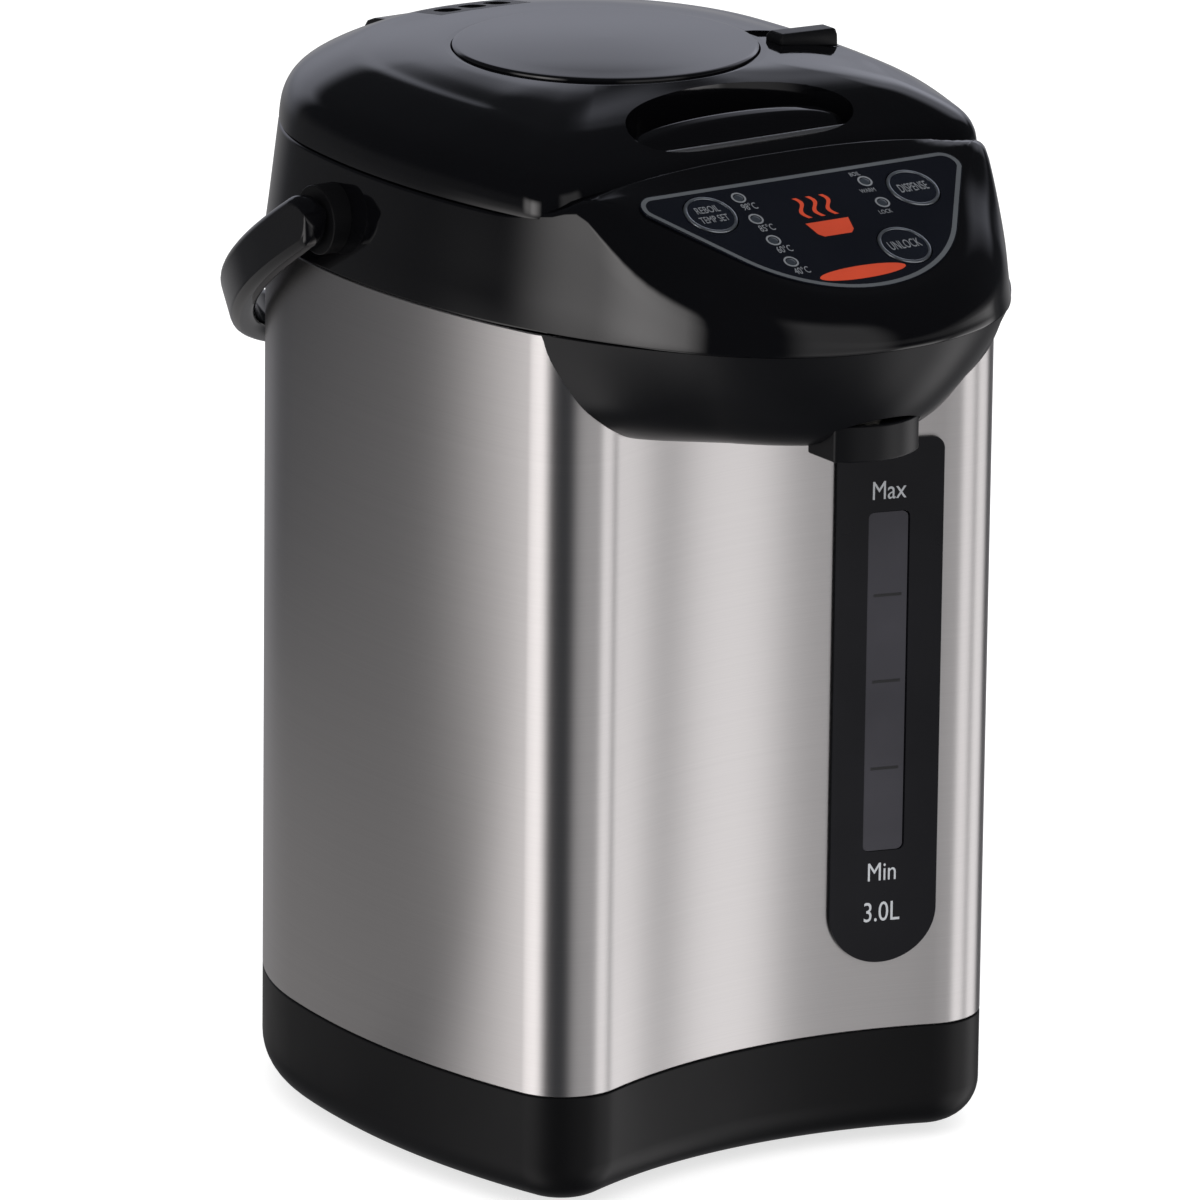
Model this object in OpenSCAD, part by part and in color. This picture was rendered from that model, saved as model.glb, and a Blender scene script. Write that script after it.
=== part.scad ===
// Instant hot water dispenser: a thermo pot with a manual air pump in its lid,
// an electric pump in its base and a spout under a sloping control panel.
// The origin is on the tank's axis at the table, +Z is up and the front faces -Y.

/* [Body plan] */
// Width of the steel body
body_w = 200; // [192:1:210]
// How far the round back stays inside the width, on each side
back_tuck = 1.6; // [1:0.1:3]
// Radius of the long sides
side_r = 275; // [260:5:300]
// Distance from the tank's axis to the middle of the hollow front
front_y = 106; // [104:0.5:110]
// Radius of the hollow front
front_r = 170.5; // [165:0.5:180]
// Radius of the two front corners
corner_r = 20; // [19:0.5:22]

/* [Heights] */
// Height of the rubber feet
foot_h = 3; // [2.5:0.5:5]
// Height of the base from the feet to the steel
base_h = 37; // [36:1:46]
// Height of the steel jacket
jacket_h = 246; // [230:1:280]
// Height of the shoulder from the steel to the lid
shoulder_h = 34; // [33:1:38]
// How far the shoulder leans in
shoulder_draft = 4; // [3:0.5:5]
// Rise of the lid from its seam to its crown
lid_rise = 27; // [26:0.5:32]

/* [Walls and clearances] */
// Thickness of the steel jacket
jacket_t = 0.8; // [0.5:0.1:1.2]
// Thickness of the moulded walls
wall = 2.5; // [2:0.1:3]
// Rounding of the base's lower edge
base_edge_r = 14; // [10:0.5:15]
// Gap between parts of one casing
fit_gap = 0.2; // [0.1:0.05:0.4]
// Gap between parts that move past each other
move_gap = 0.4; // [0.3:0.05:0.6]
// Radial clearance of a pin that turns
pin_gap = 0.05; // [0.02:0.01:0.08]

/* [Head] */
// How much the nose's radius stays under half the body's width
nose_tuck = 24; // [22:1:26]
// Reach of the nose in front of the hollow face
nose_out = 76.4; // [74:0.2:80]
// Radius of the cheeks between sides and nose
cheek_r = 200; // [190:5:215]
// Slope of the control panel
panel_slope = 26; // [24:0.5:28]
// Distance of the panel's upper edge in front of the lid
panel_out = 10.6; // [10:0.2:12]
// Height of the panel's upper edge above the lid seam
panel_rise = 7; // [5:0.5:9]
// Distance of the lid's front edge in front of the hollow face
lid_out = 2.4; // [2:0.2:3]
// Radius of the lid's front corners
lid_corner_r = 24; // [22:1:28]
// Depth of the cover under the nose
chin_h = 31; // [26:1:36]

/* [Control panel] */
// Half width of the panel overlay
overlay_half_w = 60; // [56:1:62]
// Length of the panel overlay down the slope
overlay_l = 56; // [52:1:58]
// Thickness of the panel overlay
overlay_t = 0.8; // [0.5:0.1:1.2]
// Radius of the overlay's nose
overlay_nose_r = 50; // [46:1:52]
// Radius of the overlay's upper corners
overlay_corner_r = 6; // [4:0.5:8]
// Radius of the push buttons
button_r = 8.6; // [7:0.2:9.4]
// Height of a button above the overlay
button_h = 1.2; // [1:0.1:2]
// Travel of the push buttons
button_travel = 0.8; // [0.5:0.1:1]
// Radius of the indicator lenses
lens_r = 1.6; // [1.2:0.1:2]
// Spacing of the indicator lenses down the slope
lens_pitch = 10.6; // [9:0.2:11]
// Depth of the control board under the panel
board_depth = 8; // [7.6:0.2:9]

/* [Water gauge] */
// Distance of the gauge to the right of the middle
gauge_x = 43.8; // [40:0.2:44]
// Width of the gauge panel
gauge_w = 35; // [32:1:36]
// Height of the gauge panel's lower end
gauge_z = 62.8; // [58:0.2:66]
// Height of the gauge panel's upper end
gauge_top_z = 231; // [226:1:236]
// Thickness of the gauge panel
gauge_t = 1.2; // [1:0.1:2]
// Width of the gauge window
window_w = 13.4; // [11:0.2:15]
// Height of the window's lower end
window_z = 99.8; // [96:0.2:104]
// Length of the gauge window
window_h = 111.7; // [100:0.1:114]
// Outer radius of the level tube
tube_r = 5; // [4:0.1:5.5]
// Wall of the level tube
tube_t = 1.2; // [0.8:0.1:1.6]

/* [Tank and pump] */
// Room between the round back and the inner tank
tank_room = 14.4; // [14:0.2:16]
// Thickness of the tank's steel
tank_t = 1; // [0.6:0.1:1.4]
// Height of the tank's floor
tank_z = 62; // [60:0.5:66]
// Width of the tank's rim
rim_w = 4.5; // [3.5:0.5:5]
// Radius of the electric pump
pump_r = 20; // [18:0.5:21]
// Radius of the impeller
impeller_r = 15; // [12:0.5:16]
// Number of vanes on the impeller
vane_count = 6; // [4:1:8]
// Radius of the water hoses
hose_r = 4; // [3:0.2:4.4]

/* [Lid and air pump] */
// Radius of the air pump's plate
plate_r = 48.6; // [46:0.2:50]
// Distance from the tank's axis forward to the plate's centre
plate_y = 16; // [13:1:18]
// Height of the plate above the lid's crown
plate_proud = 1.4; // [1:0.2:2]
// Travel of the air pump's plate
plate_travel = 18; // [12:1:18]
// Radius of the bellows
bellows_r = 36; // [30:1:38]
// Width of the finger recess
recess_w = 76; // [66:1:78]
// Travel of the pump lock
lock_travel = 12; // [8:1:14]
// Radius of the hinge barrel
barrel_r = 5; // [4.4:0.2:5.6]
// Radius of the hinge pin
hinge_pin_r = 2; // [1.6:0.1:2.4]

/* [Handle] */
// Distance of the middle of the handle's bar outside the body
handle_out = 8.8; // [8.6:0.2:12]
// Gap between the round back and the resting handle's grip
handle_room = 3.6; // [2.8:0.2:10]
// Radius of the handle's flanks
flank_r = 170; // [160:1:190]
// Thickness of the handle's bar
bar_t = 8.4; // [7:0.2:8.6]
// Width of the handle's bar
bar_w = 17; // [14:0.5:18]
// Angle of the resting handle below the level
handle_tilt = 30.5; // [28:0.5:34]
// Distance from the tank's axis forward to the pivots
pivot_y = 9; // [7:0.5:11]
// Radius of the pivot pins
pivot_r = 3; // [2.4:0.1:3.6]

/* [Hidden] */
$fn = 64;
eps = 0.01;

// Widths that follow from the body
back_r = body_w / 2 - back_tuck;
tank_r = back_r - tank_room;
handle_half_w = body_w / 2 + handle_out;
nose_r = body_w / 2 - nose_tuck;
lid_front_y = front_y + lid_out;
panel_y = lid_front_y + panel_out;
nose_reach = front_y + nose_out;

// Levels from the table up
base_top = foot_h + base_h;
jacket_top = base_top + jacket_h;
seam_z = jacket_top + shoulder_h;
crown_z = seam_z + lid_rise;
plate_top = crown_z + plate_proud;

// Centres of the plan's arcs, for the right half
side_c = [body_w / 2 - side_r, -sqrt(pow(side_r - back_r, 2) - pow(side_r - body_w / 2, 2))];
front_c = [0, -front_y - front_r];
corner_c = meet(side_c, side_r - corner_r, front_c, front_r + corner_r);
nose_c = [0, nose_r - nose_reach];
cheek_c = meet(nose_c, cheek_r - nose_r, side_c, side_r - cheek_r);
lid_front_0 = lid_front_y + shoulder_draft;
lid_corner_y = lid_corner_r - lid_front_0;
lid_corner_c = [
    side_c[0] + sqrt(pow(side_r - lid_corner_r, 2) - pow(lid_corner_y - side_c[1], 2)),
    lid_corner_y
];

// Points on each arc of a plan
front_n = 10;
corner_n = 8;
side_n = 8;
back_n = 16;

// Base
lip_h = 4;
flange_in = 17;
cover_lap = 2;
cover_t = 2;
cover_top = foot_h + wall + cover_t;
boss_r = 5;
screw_r = 1.45;
screw_head_r = 3;
screw_head_h = 1.5;
screw_l = 14;
screw_in = 30;
screw_beside = 16.1;
screw_back_y = 30;
screw_front_in = 16;
boss_short = 4;
boss_top = base_top - boss_short;
foot_r = 9;
foot_in = [48, 46];
foot_back_in = 56.4;
foot_front_in = 28;
foot_y = [back_r - foot_back_in, front_y - foot_front_in];
foot_places = [for (s = [1, -1]) for (i = [0, 1])
    [s * (body_w / 2 - foot_in[i]), (1 - 2 * i) * foot_y[i]]];
inlet_w = 34;
inlet_h = 22;
inlet_d = 24;
inlet_z = 25;
inlet_socket_d = 15;
inlet_out = 1;
inlet_front = back_r + inlet_out;
pin_r = 1.8;
pin_l = 10;
pin_pitch = 8;
board_t = 1.6;
power_board_size = [90, 46];
power_board_in = 56.4;
power_board_y = back_r - power_board_in;
standoff_h = 4;

// Gauge
gauge_a = asin(gauge_x / front_r);
tube_behind = 8;
tube_c = front_c + (front_r + tube_behind) * [sin(gauge_a), cos(gauge_a)];
screw_front_x = tube_c[0] + screw_beside;
screw_places = [for (s = [-1, 1]) each [
    [s * (body_w / 2 - screw_in), screw_back_y],
    [s * screw_front_x, screw_front_in - front_y]
]];
tube_drop = 2;
tube_z = tank_z - tube_drop;
tube_short = 40;
tube_top = jacket_top - tube_short;
window_corner = 2;
gauge_corner = 4;
gauge_seat = 0.1;

// Tank and pump
rim_drop = 8;
rim_z = seam_z - rim_drop;
rim_t = 1.5;
heater_t = 2;
heater_in = 24;
heater_r = tank_r - heater_in;
element_r = 4;
element_in = 12;
element_ring = heater_r - element_in;
thermostat_r = 9;
thermostat_h = 9;
pump_in = 24;
pump_c = [tube_c[0] - pump_r + hose_r, pump_in - tank_r];
motor_r = 16;
motor_h = 20;
pump_z = cover_top + motor_h;
pump_h = 16;
pump_wall = 2;
shaft_r = 2;
shaft_l = 16;
shaft_end = 0.5;
vane_t = 2;
hose_t = 1;
port_r = hose_r - hose_t;
port_up = 4;
port_out = 6;
riser_z = pump_z + pump_h / 2;

// Head
panel_z = seam_z + panel_rise;
lid_gap = 0.6;
horn_l = 21;
visor_back = lid_front_y + lid_gap;
visor_rise = (panel_y - visor_back) * tan(panel_slope);
visor_top = panel_z + visor_rise;
mouth_gap = 2;
pipe_lift = 6;
mouth_r = tank_r + mouth_gap;
ledge_t = 2.4;
ledge_front = 100;
pivot_z = jacket_top + shoulder_h / 2;
pivot_boss_r = 11;
handle_in = handle_half_w - bar_t / 2;
boss_out = handle_in - move_gap;
chin_z = jacket_top - chin_h;
spout_w = 28;
spout_d = 16;
spout_h = 11;
spout_y = 161;
spout_front_r = 22;
spout_in = 3;
post_r = 2.5;
board_size = [84, 38];
board_v = 27;
post_places = [[0, 12], [-38, 34], [38, 34], [0, 43]];
switch_size = 6;
stem_r = 3;
stem_l = 5.6;
flange_out = 1.4;
flange_t = 1;
dispense_at = [36.5, 14.5];
unlock_at = [17.6, 39.3];
reboil_at = [-38.5, 12.5];
button_places = [dispense_at, unlock_at, reboil_at];
temp_x = -24.6;
temp_v = 6.8;
temp_count = 4;
status_x = 22.2;
status_v = 8.2;
status_count = 2;
lens_places = concat(
    [for (i = [0 : temp_count - 1]) [temp_x, temp_v + i * lens_pitch]],
    [for (i = [0 : status_count - 1]) [status_x, status_v + i * lens_pitch]]
);

// Lid
lid_z = seam_z + move_gap;
// Steps of the lid's skin: share of the way in to the plate's well, share of the rise
lid_steps = [[0, 0], [0.022, 0.25], [0.087, 0.42], [0.217, 0.56], [0.435, 0.74], [0.74, 0.94], [1, 1]];
plate_t = 3.5;
well_t = 2.4;
well_r = plate_r + move_gap;
crown_w = 1.6;
well_lift = 2;
well_z = lid_z + wall + well_lift;
liner_gap = 0.8;
liner_in = wall + liner_gap;
cup_in = 4.6;
cup_r = plate_r - cup_in;
cup_drop = 19;
cup_z = seam_z - cup_drop;
plug_in = 12;
plug_r = tank_r - plug_in;
plug_drop = 5;
plug_z = seam_z - plug_drop;
gasket_play = 0.3;
gasket_in = plug_r + gasket_play;
gasket_tuck = 0.8;
gasket_out = mouth_r - gasket_tuck;
gasket_gap = 0.3;
bellows_t = 2;
spring_r = 20;
spring_t = 1.6;
recess_d = 30;
recess_y = 86;
recess_rise = 9;
recess_z = seam_z + recess_rise;
moon_r = 44.9;
moon_y = recess_y - recess_d / 2 + moon_r;
latch_play = 4;
latch_w = recess_w - latch_play;
latch_d = 14;
latch_t = 4;
latch_y = 93;
latch_rise = 4;
latch_z = recess_z + latch_rise;
latch_pin_r = 1.5;
latch_pin_in = 3;
latch_pin_y = latch_y + latch_d / 2 - latch_pin_in;
latch_pin_short = 2;
latch_pin_l = recess_w + 2 * wall - latch_pin_short;
vent_size = [34, 16];
vent_y = 60;
vent_slots = 3;
vent_slot = [7, 10];
vent_drop = 13;
vent_z = crown_z - vent_drop;
lock_beside = 11.4;
lock_x = plate_r + lock_beside;
lock_y = 46;
lock_knob = [22, 18, 5];
lock_stem = [5, 8];
lock_foot = [12, 12, 1.6];
bed_drop = 2.2;
lock_bed_z = crown_z - bed_drop;
lock_bed_t = 8.8;
lock_z = lock_bed_z + move_gap;
hinge_out = 2.6;
hinge_y = back_r - shoulder_draft + hinge_out;
hinge_rise = 3;
hinge_z = seam_z + hinge_rise;
lug_half = 11.5;
ear_t = 5;
ear_in = lug_half + move_gap;
ear_out = ear_in + ear_t;
lug_d = 14;
lug_top = 13;
ear_lap = 1;
ear_y = hinge_y - barrel_r - ear_lap;
fixed_gap = 0.02;
lock_foot_z = lock_bed_z - lock_bed_t - move_gap - lock_foot[2];
chin_gap = 0.4;
// Steps of the cover under the nose: inset from the nose, share of its depth
chin_steps = [[1.5, 0], [3.5, 0.45], [7, 0.74], [12, 0.92], [18, 1]];

// Handle
handle_l = (back_r + handle_room + pivot_y + bar_w / 2 * sin(handle_tilt)) / cos(handle_tilt)
    + bar_t / 2;
bow_r = (pow(flank_r, 2) - pow(flank_r - handle_half_w, 2) - pow(handle_l, 2))
    / (2 * (flank_r - handle_l));
bow_y = handle_l - bow_r;
flank_a = atan2(bow_y, flank_r - handle_half_w);
flank_n = 12;
bow_n = 20;
pin_in = 10;
pin_out = 5;

// Right-hand point where circles round a and b meet
function meet(a, ra, b, rb) =
    let (d = b - a, l = norm(d), u = d / l, v = [-u[1], u[0]])
    let (s = (ra * ra - rb * rb + l * l) / (2 * l), h = sqrt(ra * ra - s * s))
    let (p = a + s * u + h * v, q = a + s * u - h * v)
    p[0] > q[0] ? p : q;
function angle_of(v) = atan2(v[1], v[0]);
function arc_points(c, r, a0, a1, n) =
    [for (i = [0 : n - 1]) let (a = a0 + (a1 - a0) * i / n) c + r * [cos(a), sin(a)]];
function mirrored(p) = [for (i = [len(p) - 2 : -1 : 1]) [-p[i][0], p[i][1]]];
function whole(p) = concat(p, mirrored(p));

// Angles where one arc hands over to the next
corner_a0 = angle_of(front_c - corner_c);
corner_a1 = angle_of(corner_c - side_c);
side_a1 = angle_of(-side_c);
cheek_a0 = angle_of(nose_c - cheek_c);
cheek_a1 = angle_of(cheek_c - side_c);
lid_a1 = angle_of(lid_corner_c - side_c);

// Side and back of every plan, drawn t inside the steel's outline, from angle a
function rear_points(t, a) = concat(
    arc_points(side_c, side_r - t, a, side_a1, side_n),
    arc_points([0, 0], back_r - t, side_a1, 90, back_n),
    [[0, back_r - t]]
);
function body_points(t) = whole(concat(
    arc_points(front_c, front_r + t, 90, corner_a0 + 180, front_n),
    arc_points(corner_c, corner_r - t, corner_a0, corner_a1, corner_n),
    rear_points(t, corner_a1)
));
function head_points(t) = whole(concat(
    arc_points(nose_c, nose_r - t, -90, cheek_a0, front_n),
    arc_points(cheek_c, cheek_r - t, cheek_a0, cheek_a1, corner_n),
    rear_points(t, cheek_a1)
));
function lid_points(t) = whole(concat(
    [[0, t - lid_front_0]],
    arc_points(lid_corner_c, lid_corner_r - t, -90, lid_a1, corner_n),
    rear_points(t, lid_a1)
));

// Solid skinned over rings of equally many points, closed at both ends
module skin(rings) {
    n = len(rings[0]);
    m = len(rings);
    points = [for (ring = rings) each ring];
    sides = [
        for (j = [0 : m - 2]) for (i = [0 : n - 1])
            let (a = j * n + i, b = j * n + (i + 1) % n)
            each [[a, a + n, b + n], [a, b + n, b]]
    ];
    ends = [
        [for (i = [0 : n - 1]) i],
        [for (i = [n - 1 : -1 : 0]) (m - 1) * n + i]
    ];
    polyhedron(points, concat(sides, ends));
}
// Ring skinned over a closed loop of rings that starts down its outer face
module hoop(rings) {
    n = len(rings[0]);
    m = len(rings);
    points = [for (ring = rings) each ring];
    faces = [
        for (j = [0 : m - 1]) for (i = [0 : n - 1])
            let (k = (j + 1) % m)
            let (a = j * n + i, b = j * n + (i + 1) % n)
            let (c = k * n + i, d = k * n + (i + 1) % n)
            each [[a, d, c], [a, b, d]]
    ];
    polyhedron(points, faces);
}
function at_z(p, z) = [for (q = p) [q[0], q[1], z]];

// Steel's outline t inside its outer face, as true arcs
module body_plan(t) {
    tangent_side = corner_c + (corner_r - t) * [cos(corner_a1), sin(corner_a1)];
    tangent_front = corner_c + (corner_r - t) * [cos(corner_a0), sin(corner_a0)];
    tangent_back = (back_r - t) * [cos(side_a1), sin(side_a1)];
    half = [tangent_front, corner_c, tangent_side, tangent_back];
    difference() {
        union() {
            circle(back_r - t, $fn = 180);
            polygon(concat(half, [for (i = [len(half) - 1 : -1 : 0]) [-half[i][0], half[i][1]]]));
            for (s = [-1, 1]) translate([s * corner_c[0], corner_c[1]]) circle(corner_r - t);
            intersection() {
                translate(side_c) circle(side_r - t, $fn = 360);
                translate([-side_c[0], side_c[1]]) circle(side_r - t, $fn = 360);
                translate([-body_w, tangent_side[1]])
                    square([2 * body_w, tangent_back[1] - tangent_side[1]]);
            }
        }
        translate(front_c) circle(front_r + t, $fn = 240);
    }
}
// Frame on the sloping panel: x across, y up the slope, z out of the panel
module on_panel() {
    translate([0, -panel_y, panel_z]) rotate([panel_slope, 0, 0]) children();
}
module at_panel(p) {
    on_panel() translate([p[0], -p[1], 0]) children();
}
// Cylinder along X, centred on the axis it lies on
module rod_x(r, l) {
    rotate([0, 90, 0]) cylinder(r = r, h = l, center = true);
}
// Tube along a chain of points with round bends
module pipe(points, r) {
    for (i = [0 : len(points) - 2]) {
        d = points[i + 1] - points[i];
        translate(points[i])
            rotate([0, acos(d[2] / norm(d)), atan2(d[1], d[0])])
                cylinder(r = r, h = norm(d));
    }
    for (i = [1 : 1 : len(points) - 2]) translate(points[i]) sphere(r);
}
module slot_outline(w, h, r) {
    for (x = [r, w - r]) for (y = [r, h - r]) translate([x - w / 2, y]) circle(r);
    translate([-w / 2 + r, 0]) square([w - 2 * r, h]);
    translate([-w / 2, r]) square([w, h - 2 * r]);
}
// Block that cuts along Y from an outline drawn in X and Z
module cut_front(x, z) {
    translate([x, 0, z]) rotate([90, 0, 0]) linear_extrude(2 * front_y) children();
}

module base_shell() {
    n = 6;
    outer = [for (i = [0 : n]) let (a = 90 * i / n)
        [base_edge_r * (1 - cos(a)), foot_h + base_edge_r * (1 - sin(a))]];
    inner_r = base_edge_r - wall;
    inner = [for (i = [n : -1 : 0]) let (a = 90 * i / n)
        [base_edge_r - inner_r * cos(a), foot_h + base_edge_r - inner_r * sin(a)]];
    profile = concat(
        [[0, base_top]], outer,
        [[flange_in, foot_h], [flange_in, foot_h + wall]], inner,
        [[wall + jacket_t, base_top + lip_h], [jacket_t + fit_gap, base_top + lip_h],
         [jacket_t + fit_gap, base_top]]
    );
    color("#1d1d20") difference() {
        union() {
            hoop([for (p = profile) at_z(body_points(p[0]), p[1])]);
            for (p = screw_places) screw_boss(p);
        }
        for (p = screw_places) translate([p[0], p[1], cover_top])
            cylinder(r = screw_r + pin_gap, h = screw_l);
        translate([-inlet_w / 2 - fit_gap, back_r - inlet_d, inlet_z - inlet_h / 2 - fit_gap])
            cube([inlet_w + 2 * fit_gap, inlet_d + wall, inlet_h + 2 * fit_gap]);
    }
}
// Screw boss with a web to the base's wall
module screw_boss(p) {
    web = 2.4;
    web_z = foot_h + base_edge_r;
    corner = [sign(p[0]) * corner_c[0], corner_c[1]];
    turn = p[1] > 0 ? angle_of(p) : angle_of(corner - p);
    reach = p[1] > 0 ? back_r - norm(p) : norm(corner - p) + corner_r;
    translate([p[0], p[1], cover_top]) cylinder(r = boss_r, h = boss_top - cover_top);
    translate([p[0], p[1], web_z]) rotate([0, 0, turn])
        translate([0, -web / 2, 0]) cube([reach - wall / 2, web, boss_top - web_z]);
}
module bottom_cover() {
    color("#232326") difference() {
        union() {
            translate([0, 0, foot_h])
                linear_extrude(wall) polygon(body_points(flange_in + fit_gap));
            translate([0, 0, foot_h + wall])
                linear_extrude(cover_t) polygon(body_points(flange_in - cover_lap));
            for (x = [-1, 1]) for (y = [-1, 1])
                translate([x * (power_board_size[0] / 2 - boss_r),
                           power_board_y + y * (power_board_size[1] / 2 - boss_r), cover_top - eps])
                    cylinder(r = post_r, h = standoff_h + eps);
        }
        for (p = screw_places) translate([p[0], p[1], 0]) {
            cylinder(r = screw_r + fit_gap, h = base_top);
            cylinder(r = screw_head_r + fit_gap, h = foot_h + screw_head_h);
        }
    }
}
module feet() {
    color("#101012") for (p = foot_places) translate([p[0], p[1], 0]) cylinder(r = foot_r, h = foot_h);
}
module cover_screws() {
    color("#9a9a9e") for (p = screw_places) translate([p[0], p[1], foot_h]) {
        cylinder(r = screw_head_r, h = screw_head_h);
        cylinder(r = screw_r, h = screw_l);
    }
}
module power_inlet() {
    color("#151517") difference() {
        translate([-inlet_w / 2, inlet_front - inlet_d, inlet_z - inlet_h / 2])
            cube([inlet_w, inlet_d, inlet_h]);
        translate([-inlet_w / 2 + wall, inlet_front - inlet_socket_d, inlet_z - inlet_h / 2 + wall])
            cube([inlet_w - 2 * wall, inlet_d, inlet_h - 2 * wall]);
        inlet_pin_rods(pin_r);
    }
}
module inlet_pin_rods(r) {
    for (i = [-1 : 1]) translate([i * pin_pitch, inlet_front - inlet_socket_d + pin_l, inlet_z])
        rotate([90, 0, 0]) cylinder(r = r, h = pin_l + inlet_d - inlet_socket_d);
}
module inlet_pins() {
    color("#c9b26a") inlet_pin_rods(pin_r - pin_gap);
}
module power_board() {
    part_h = 18;
    color("#2f5b3a") translate([0, power_board_y, cover_top + standoff_h]) {
        translate([-power_board_size[0] / 2, -power_board_size[1] / 2, 0])
            cube([power_board_size[0], power_board_size[1], board_t]);
        for (x = [-1, 0, 1]) translate([x * power_board_size[0] / 4, 0, board_t - eps])
            translate([-part_h / 2, -part_h / 2, 0]) cube([part_h, part_h, part_h - 4 * abs(x)]);
    }
}
module outer_jacket() {
    color("#b9b4ae") difference() {
        translate([0, 0, base_top]) linear_extrude(jacket_h) difference() {
            polygon(body_points(0));
            polygon(body_points(jacket_t));
        }
        cut_front(gauge_x, window_z) slot_outline(window_w, window_h, window_corner);
    }
}
// Curved sheet that follows the hollow front, from distance a to b in front of the steel
module front_sheet(a, b) {
    linear_extrude(crown_z) intersection() {
        difference() {
            translate(front_c) circle(front_r - a, $fn = 240);
            translate(front_c) circle(front_r - b, $fn = 240);
        }
        translate([0, -2 * front_y]) square([body_w / 2, 2 * front_y]);
    }
}
module gauge_panel() {
    color("#141416") difference() {
        intersection() {
            front_sheet(gauge_seat, gauge_seat + gauge_t);
            cut_front(gauge_x, gauge_z) union() {
                translate([0, gauge_w / 2]) circle(gauge_w / 2);
                translate([0, gauge_w / 2])
                    slot_outline(gauge_w, gauge_top_z - gauge_z - gauge_w / 2, gauge_corner);
                translate([-gauge_w / 2, gauge_w / 2]) square([gauge_w, gauge_w / 2]);
            }
        }
        cut_front(gauge_x, window_z) slot_outline(window_w, window_h, window_corner);
    }
}
module gauge_window() {
    color("#5a5a5e") intersection() {
        front_sheet(-jacket_t, gauge_t - gauge_seat);
        cut_front(gauge_x, window_z + fit_gap)
            slot_outline(window_w - 2 * fit_gap, window_h - 2 * fit_gap, window_corner);
    }
}
module level_tube() {
    color("#c8ccd0") translate([tube_c[0], tube_c[1], tube_z]) difference() {
        cylinder(r = tube_r, h = tube_top - tube_z);
        translate([0, 0, -eps]) cylinder(r = tube_r - tube_t, h = tube_top - tube_z + 2 * eps);
    }
}
module inner_tank() {
    color("#c2c2c4") difference() {
        rotate_extrude($fn = 180) difference() {
            union() {
                translate([0, tank_z]) square([tank_r, rim_z - tank_z]);
                translate([0, rim_z - rim_t]) square([tank_r + rim_w, rim_t]);
            }
            translate([-eps, tank_z + tank_t]) square([tank_r - tank_t + eps, rim_z]);
        }
        translate([pump_c[0], pump_c[1], tank_z - 1]) cylinder(r = port_r, h = tank_t + 2);
    }
}
module heater_plate() {
    color("#8f8f92") translate([0, 0, tank_z - heater_t - fit_gap]) cylinder(r = heater_r, h = heater_t);
}
module heating_element() {
    color("#6d5a4c") translate([0, 0, tank_z - heater_t - 2 * fit_gap - element_r])
        rotate_extrude($fn = 96) translate([element_ring, 0]) circle(element_r, $fn = 32);
}
module thermostat() {
    color("#d8d2c4") translate([0, 0, tank_z - heater_t - 2 * fit_gap - thermostat_h])
        cylinder(r = thermostat_r, h = thermostat_h);
}
module pump_motor() {
    color("#77777a") translate([pump_c[0], pump_c[1], cover_top]) difference() {
        cylinder(r = motor_r, h = motor_h - fit_gap);
        translate([0, 0, motor_h - shaft_l]) cylinder(r = shaft_r + pin_gap, h = shaft_l);
    }
}
module pump_housing() {
    color("#e4e0d6") translate([pump_c[0], pump_c[1], pump_z]) difference() {
        union() {
            cylinder(r = pump_r, h = pump_h);
            translate([0, 0, pump_h - eps]) cylinder(r = hose_r, h = port_up);
            translate([tube_c[0] - pump_c[0], 0, pump_h / 2]) rotate([90, 0, 0])
                cylinder(r = hose_r, h = pump_r + port_out);
        }
        translate([0, 0, pump_wall]) cylinder(r = pump_r - pump_wall, h = pump_h - 2 * pump_wall);
        translate([0, 0, -eps]) cylinder(r = shaft_r + move_gap, h = pump_wall + 2 * eps);
        translate([0, 0, pump_wall]) cylinder(r = port_r, h = pump_h + port_up);
        translate([tube_c[0] - pump_c[0], 0, pump_h / 2]) rotate([90, 0, 0])
            cylinder(r = port_r, h = pump_r + port_out + eps);
    }
}
module pump_impeller() {
    disc_h = 2;
    vane_h = pump_h - 2 * pump_wall - disc_h - 2 * move_gap;
    color("#d8cfa8") translate([pump_c[0], pump_c[1], 0]) {
        translate([0, 0, pump_z + pump_wall + move_gap]) {
            cylinder(r = impeller_r, h = disc_h);
            for (i = [0 : vane_count - 1]) rotate([0, 0, 360 * i / vane_count])
                translate([0, -vane_t / 2, 0]) cube([impeller_r - 1, vane_t, disc_h + vane_h]);
        }
        translate([0, 0, pump_z - shaft_l + shaft_end]) cylinder(r = shaft_r, h = shaft_l + pump_wall);
    }
}
module inlet_hose() {
    z = pump_z + pump_h + port_up + fit_gap;
    color("#d9d6cf") translate([pump_c[0], pump_c[1], z]) difference() {
        cylinder(r = hose_r, h = tank_z - z - fit_gap);
        translate([0, 0, -eps]) cylinder(r = port_r, h = tank_z);
    }
}
module riser_hose() {
    y0 = pump_c[1] - pump_r - port_out - fit_gap;
    way = [[tube_c[0], y0, riser_z], [tube_c[0], tube_c[1], riser_z],
           [tube_c[0], tube_c[1], tube_z - fit_gap]];
    color("#d9d6cf") difference() {
        pipe(way, hose_r);
        translate(way[1]) cylinder(r = port_r, h = tube_z - riser_z);
        translate(way[1]) rotate([90, 0, 0]) mirror([0, 0, 1]) cylinder(r = port_r, h = y0 - tube_c[1] + eps);
    }
}
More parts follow.
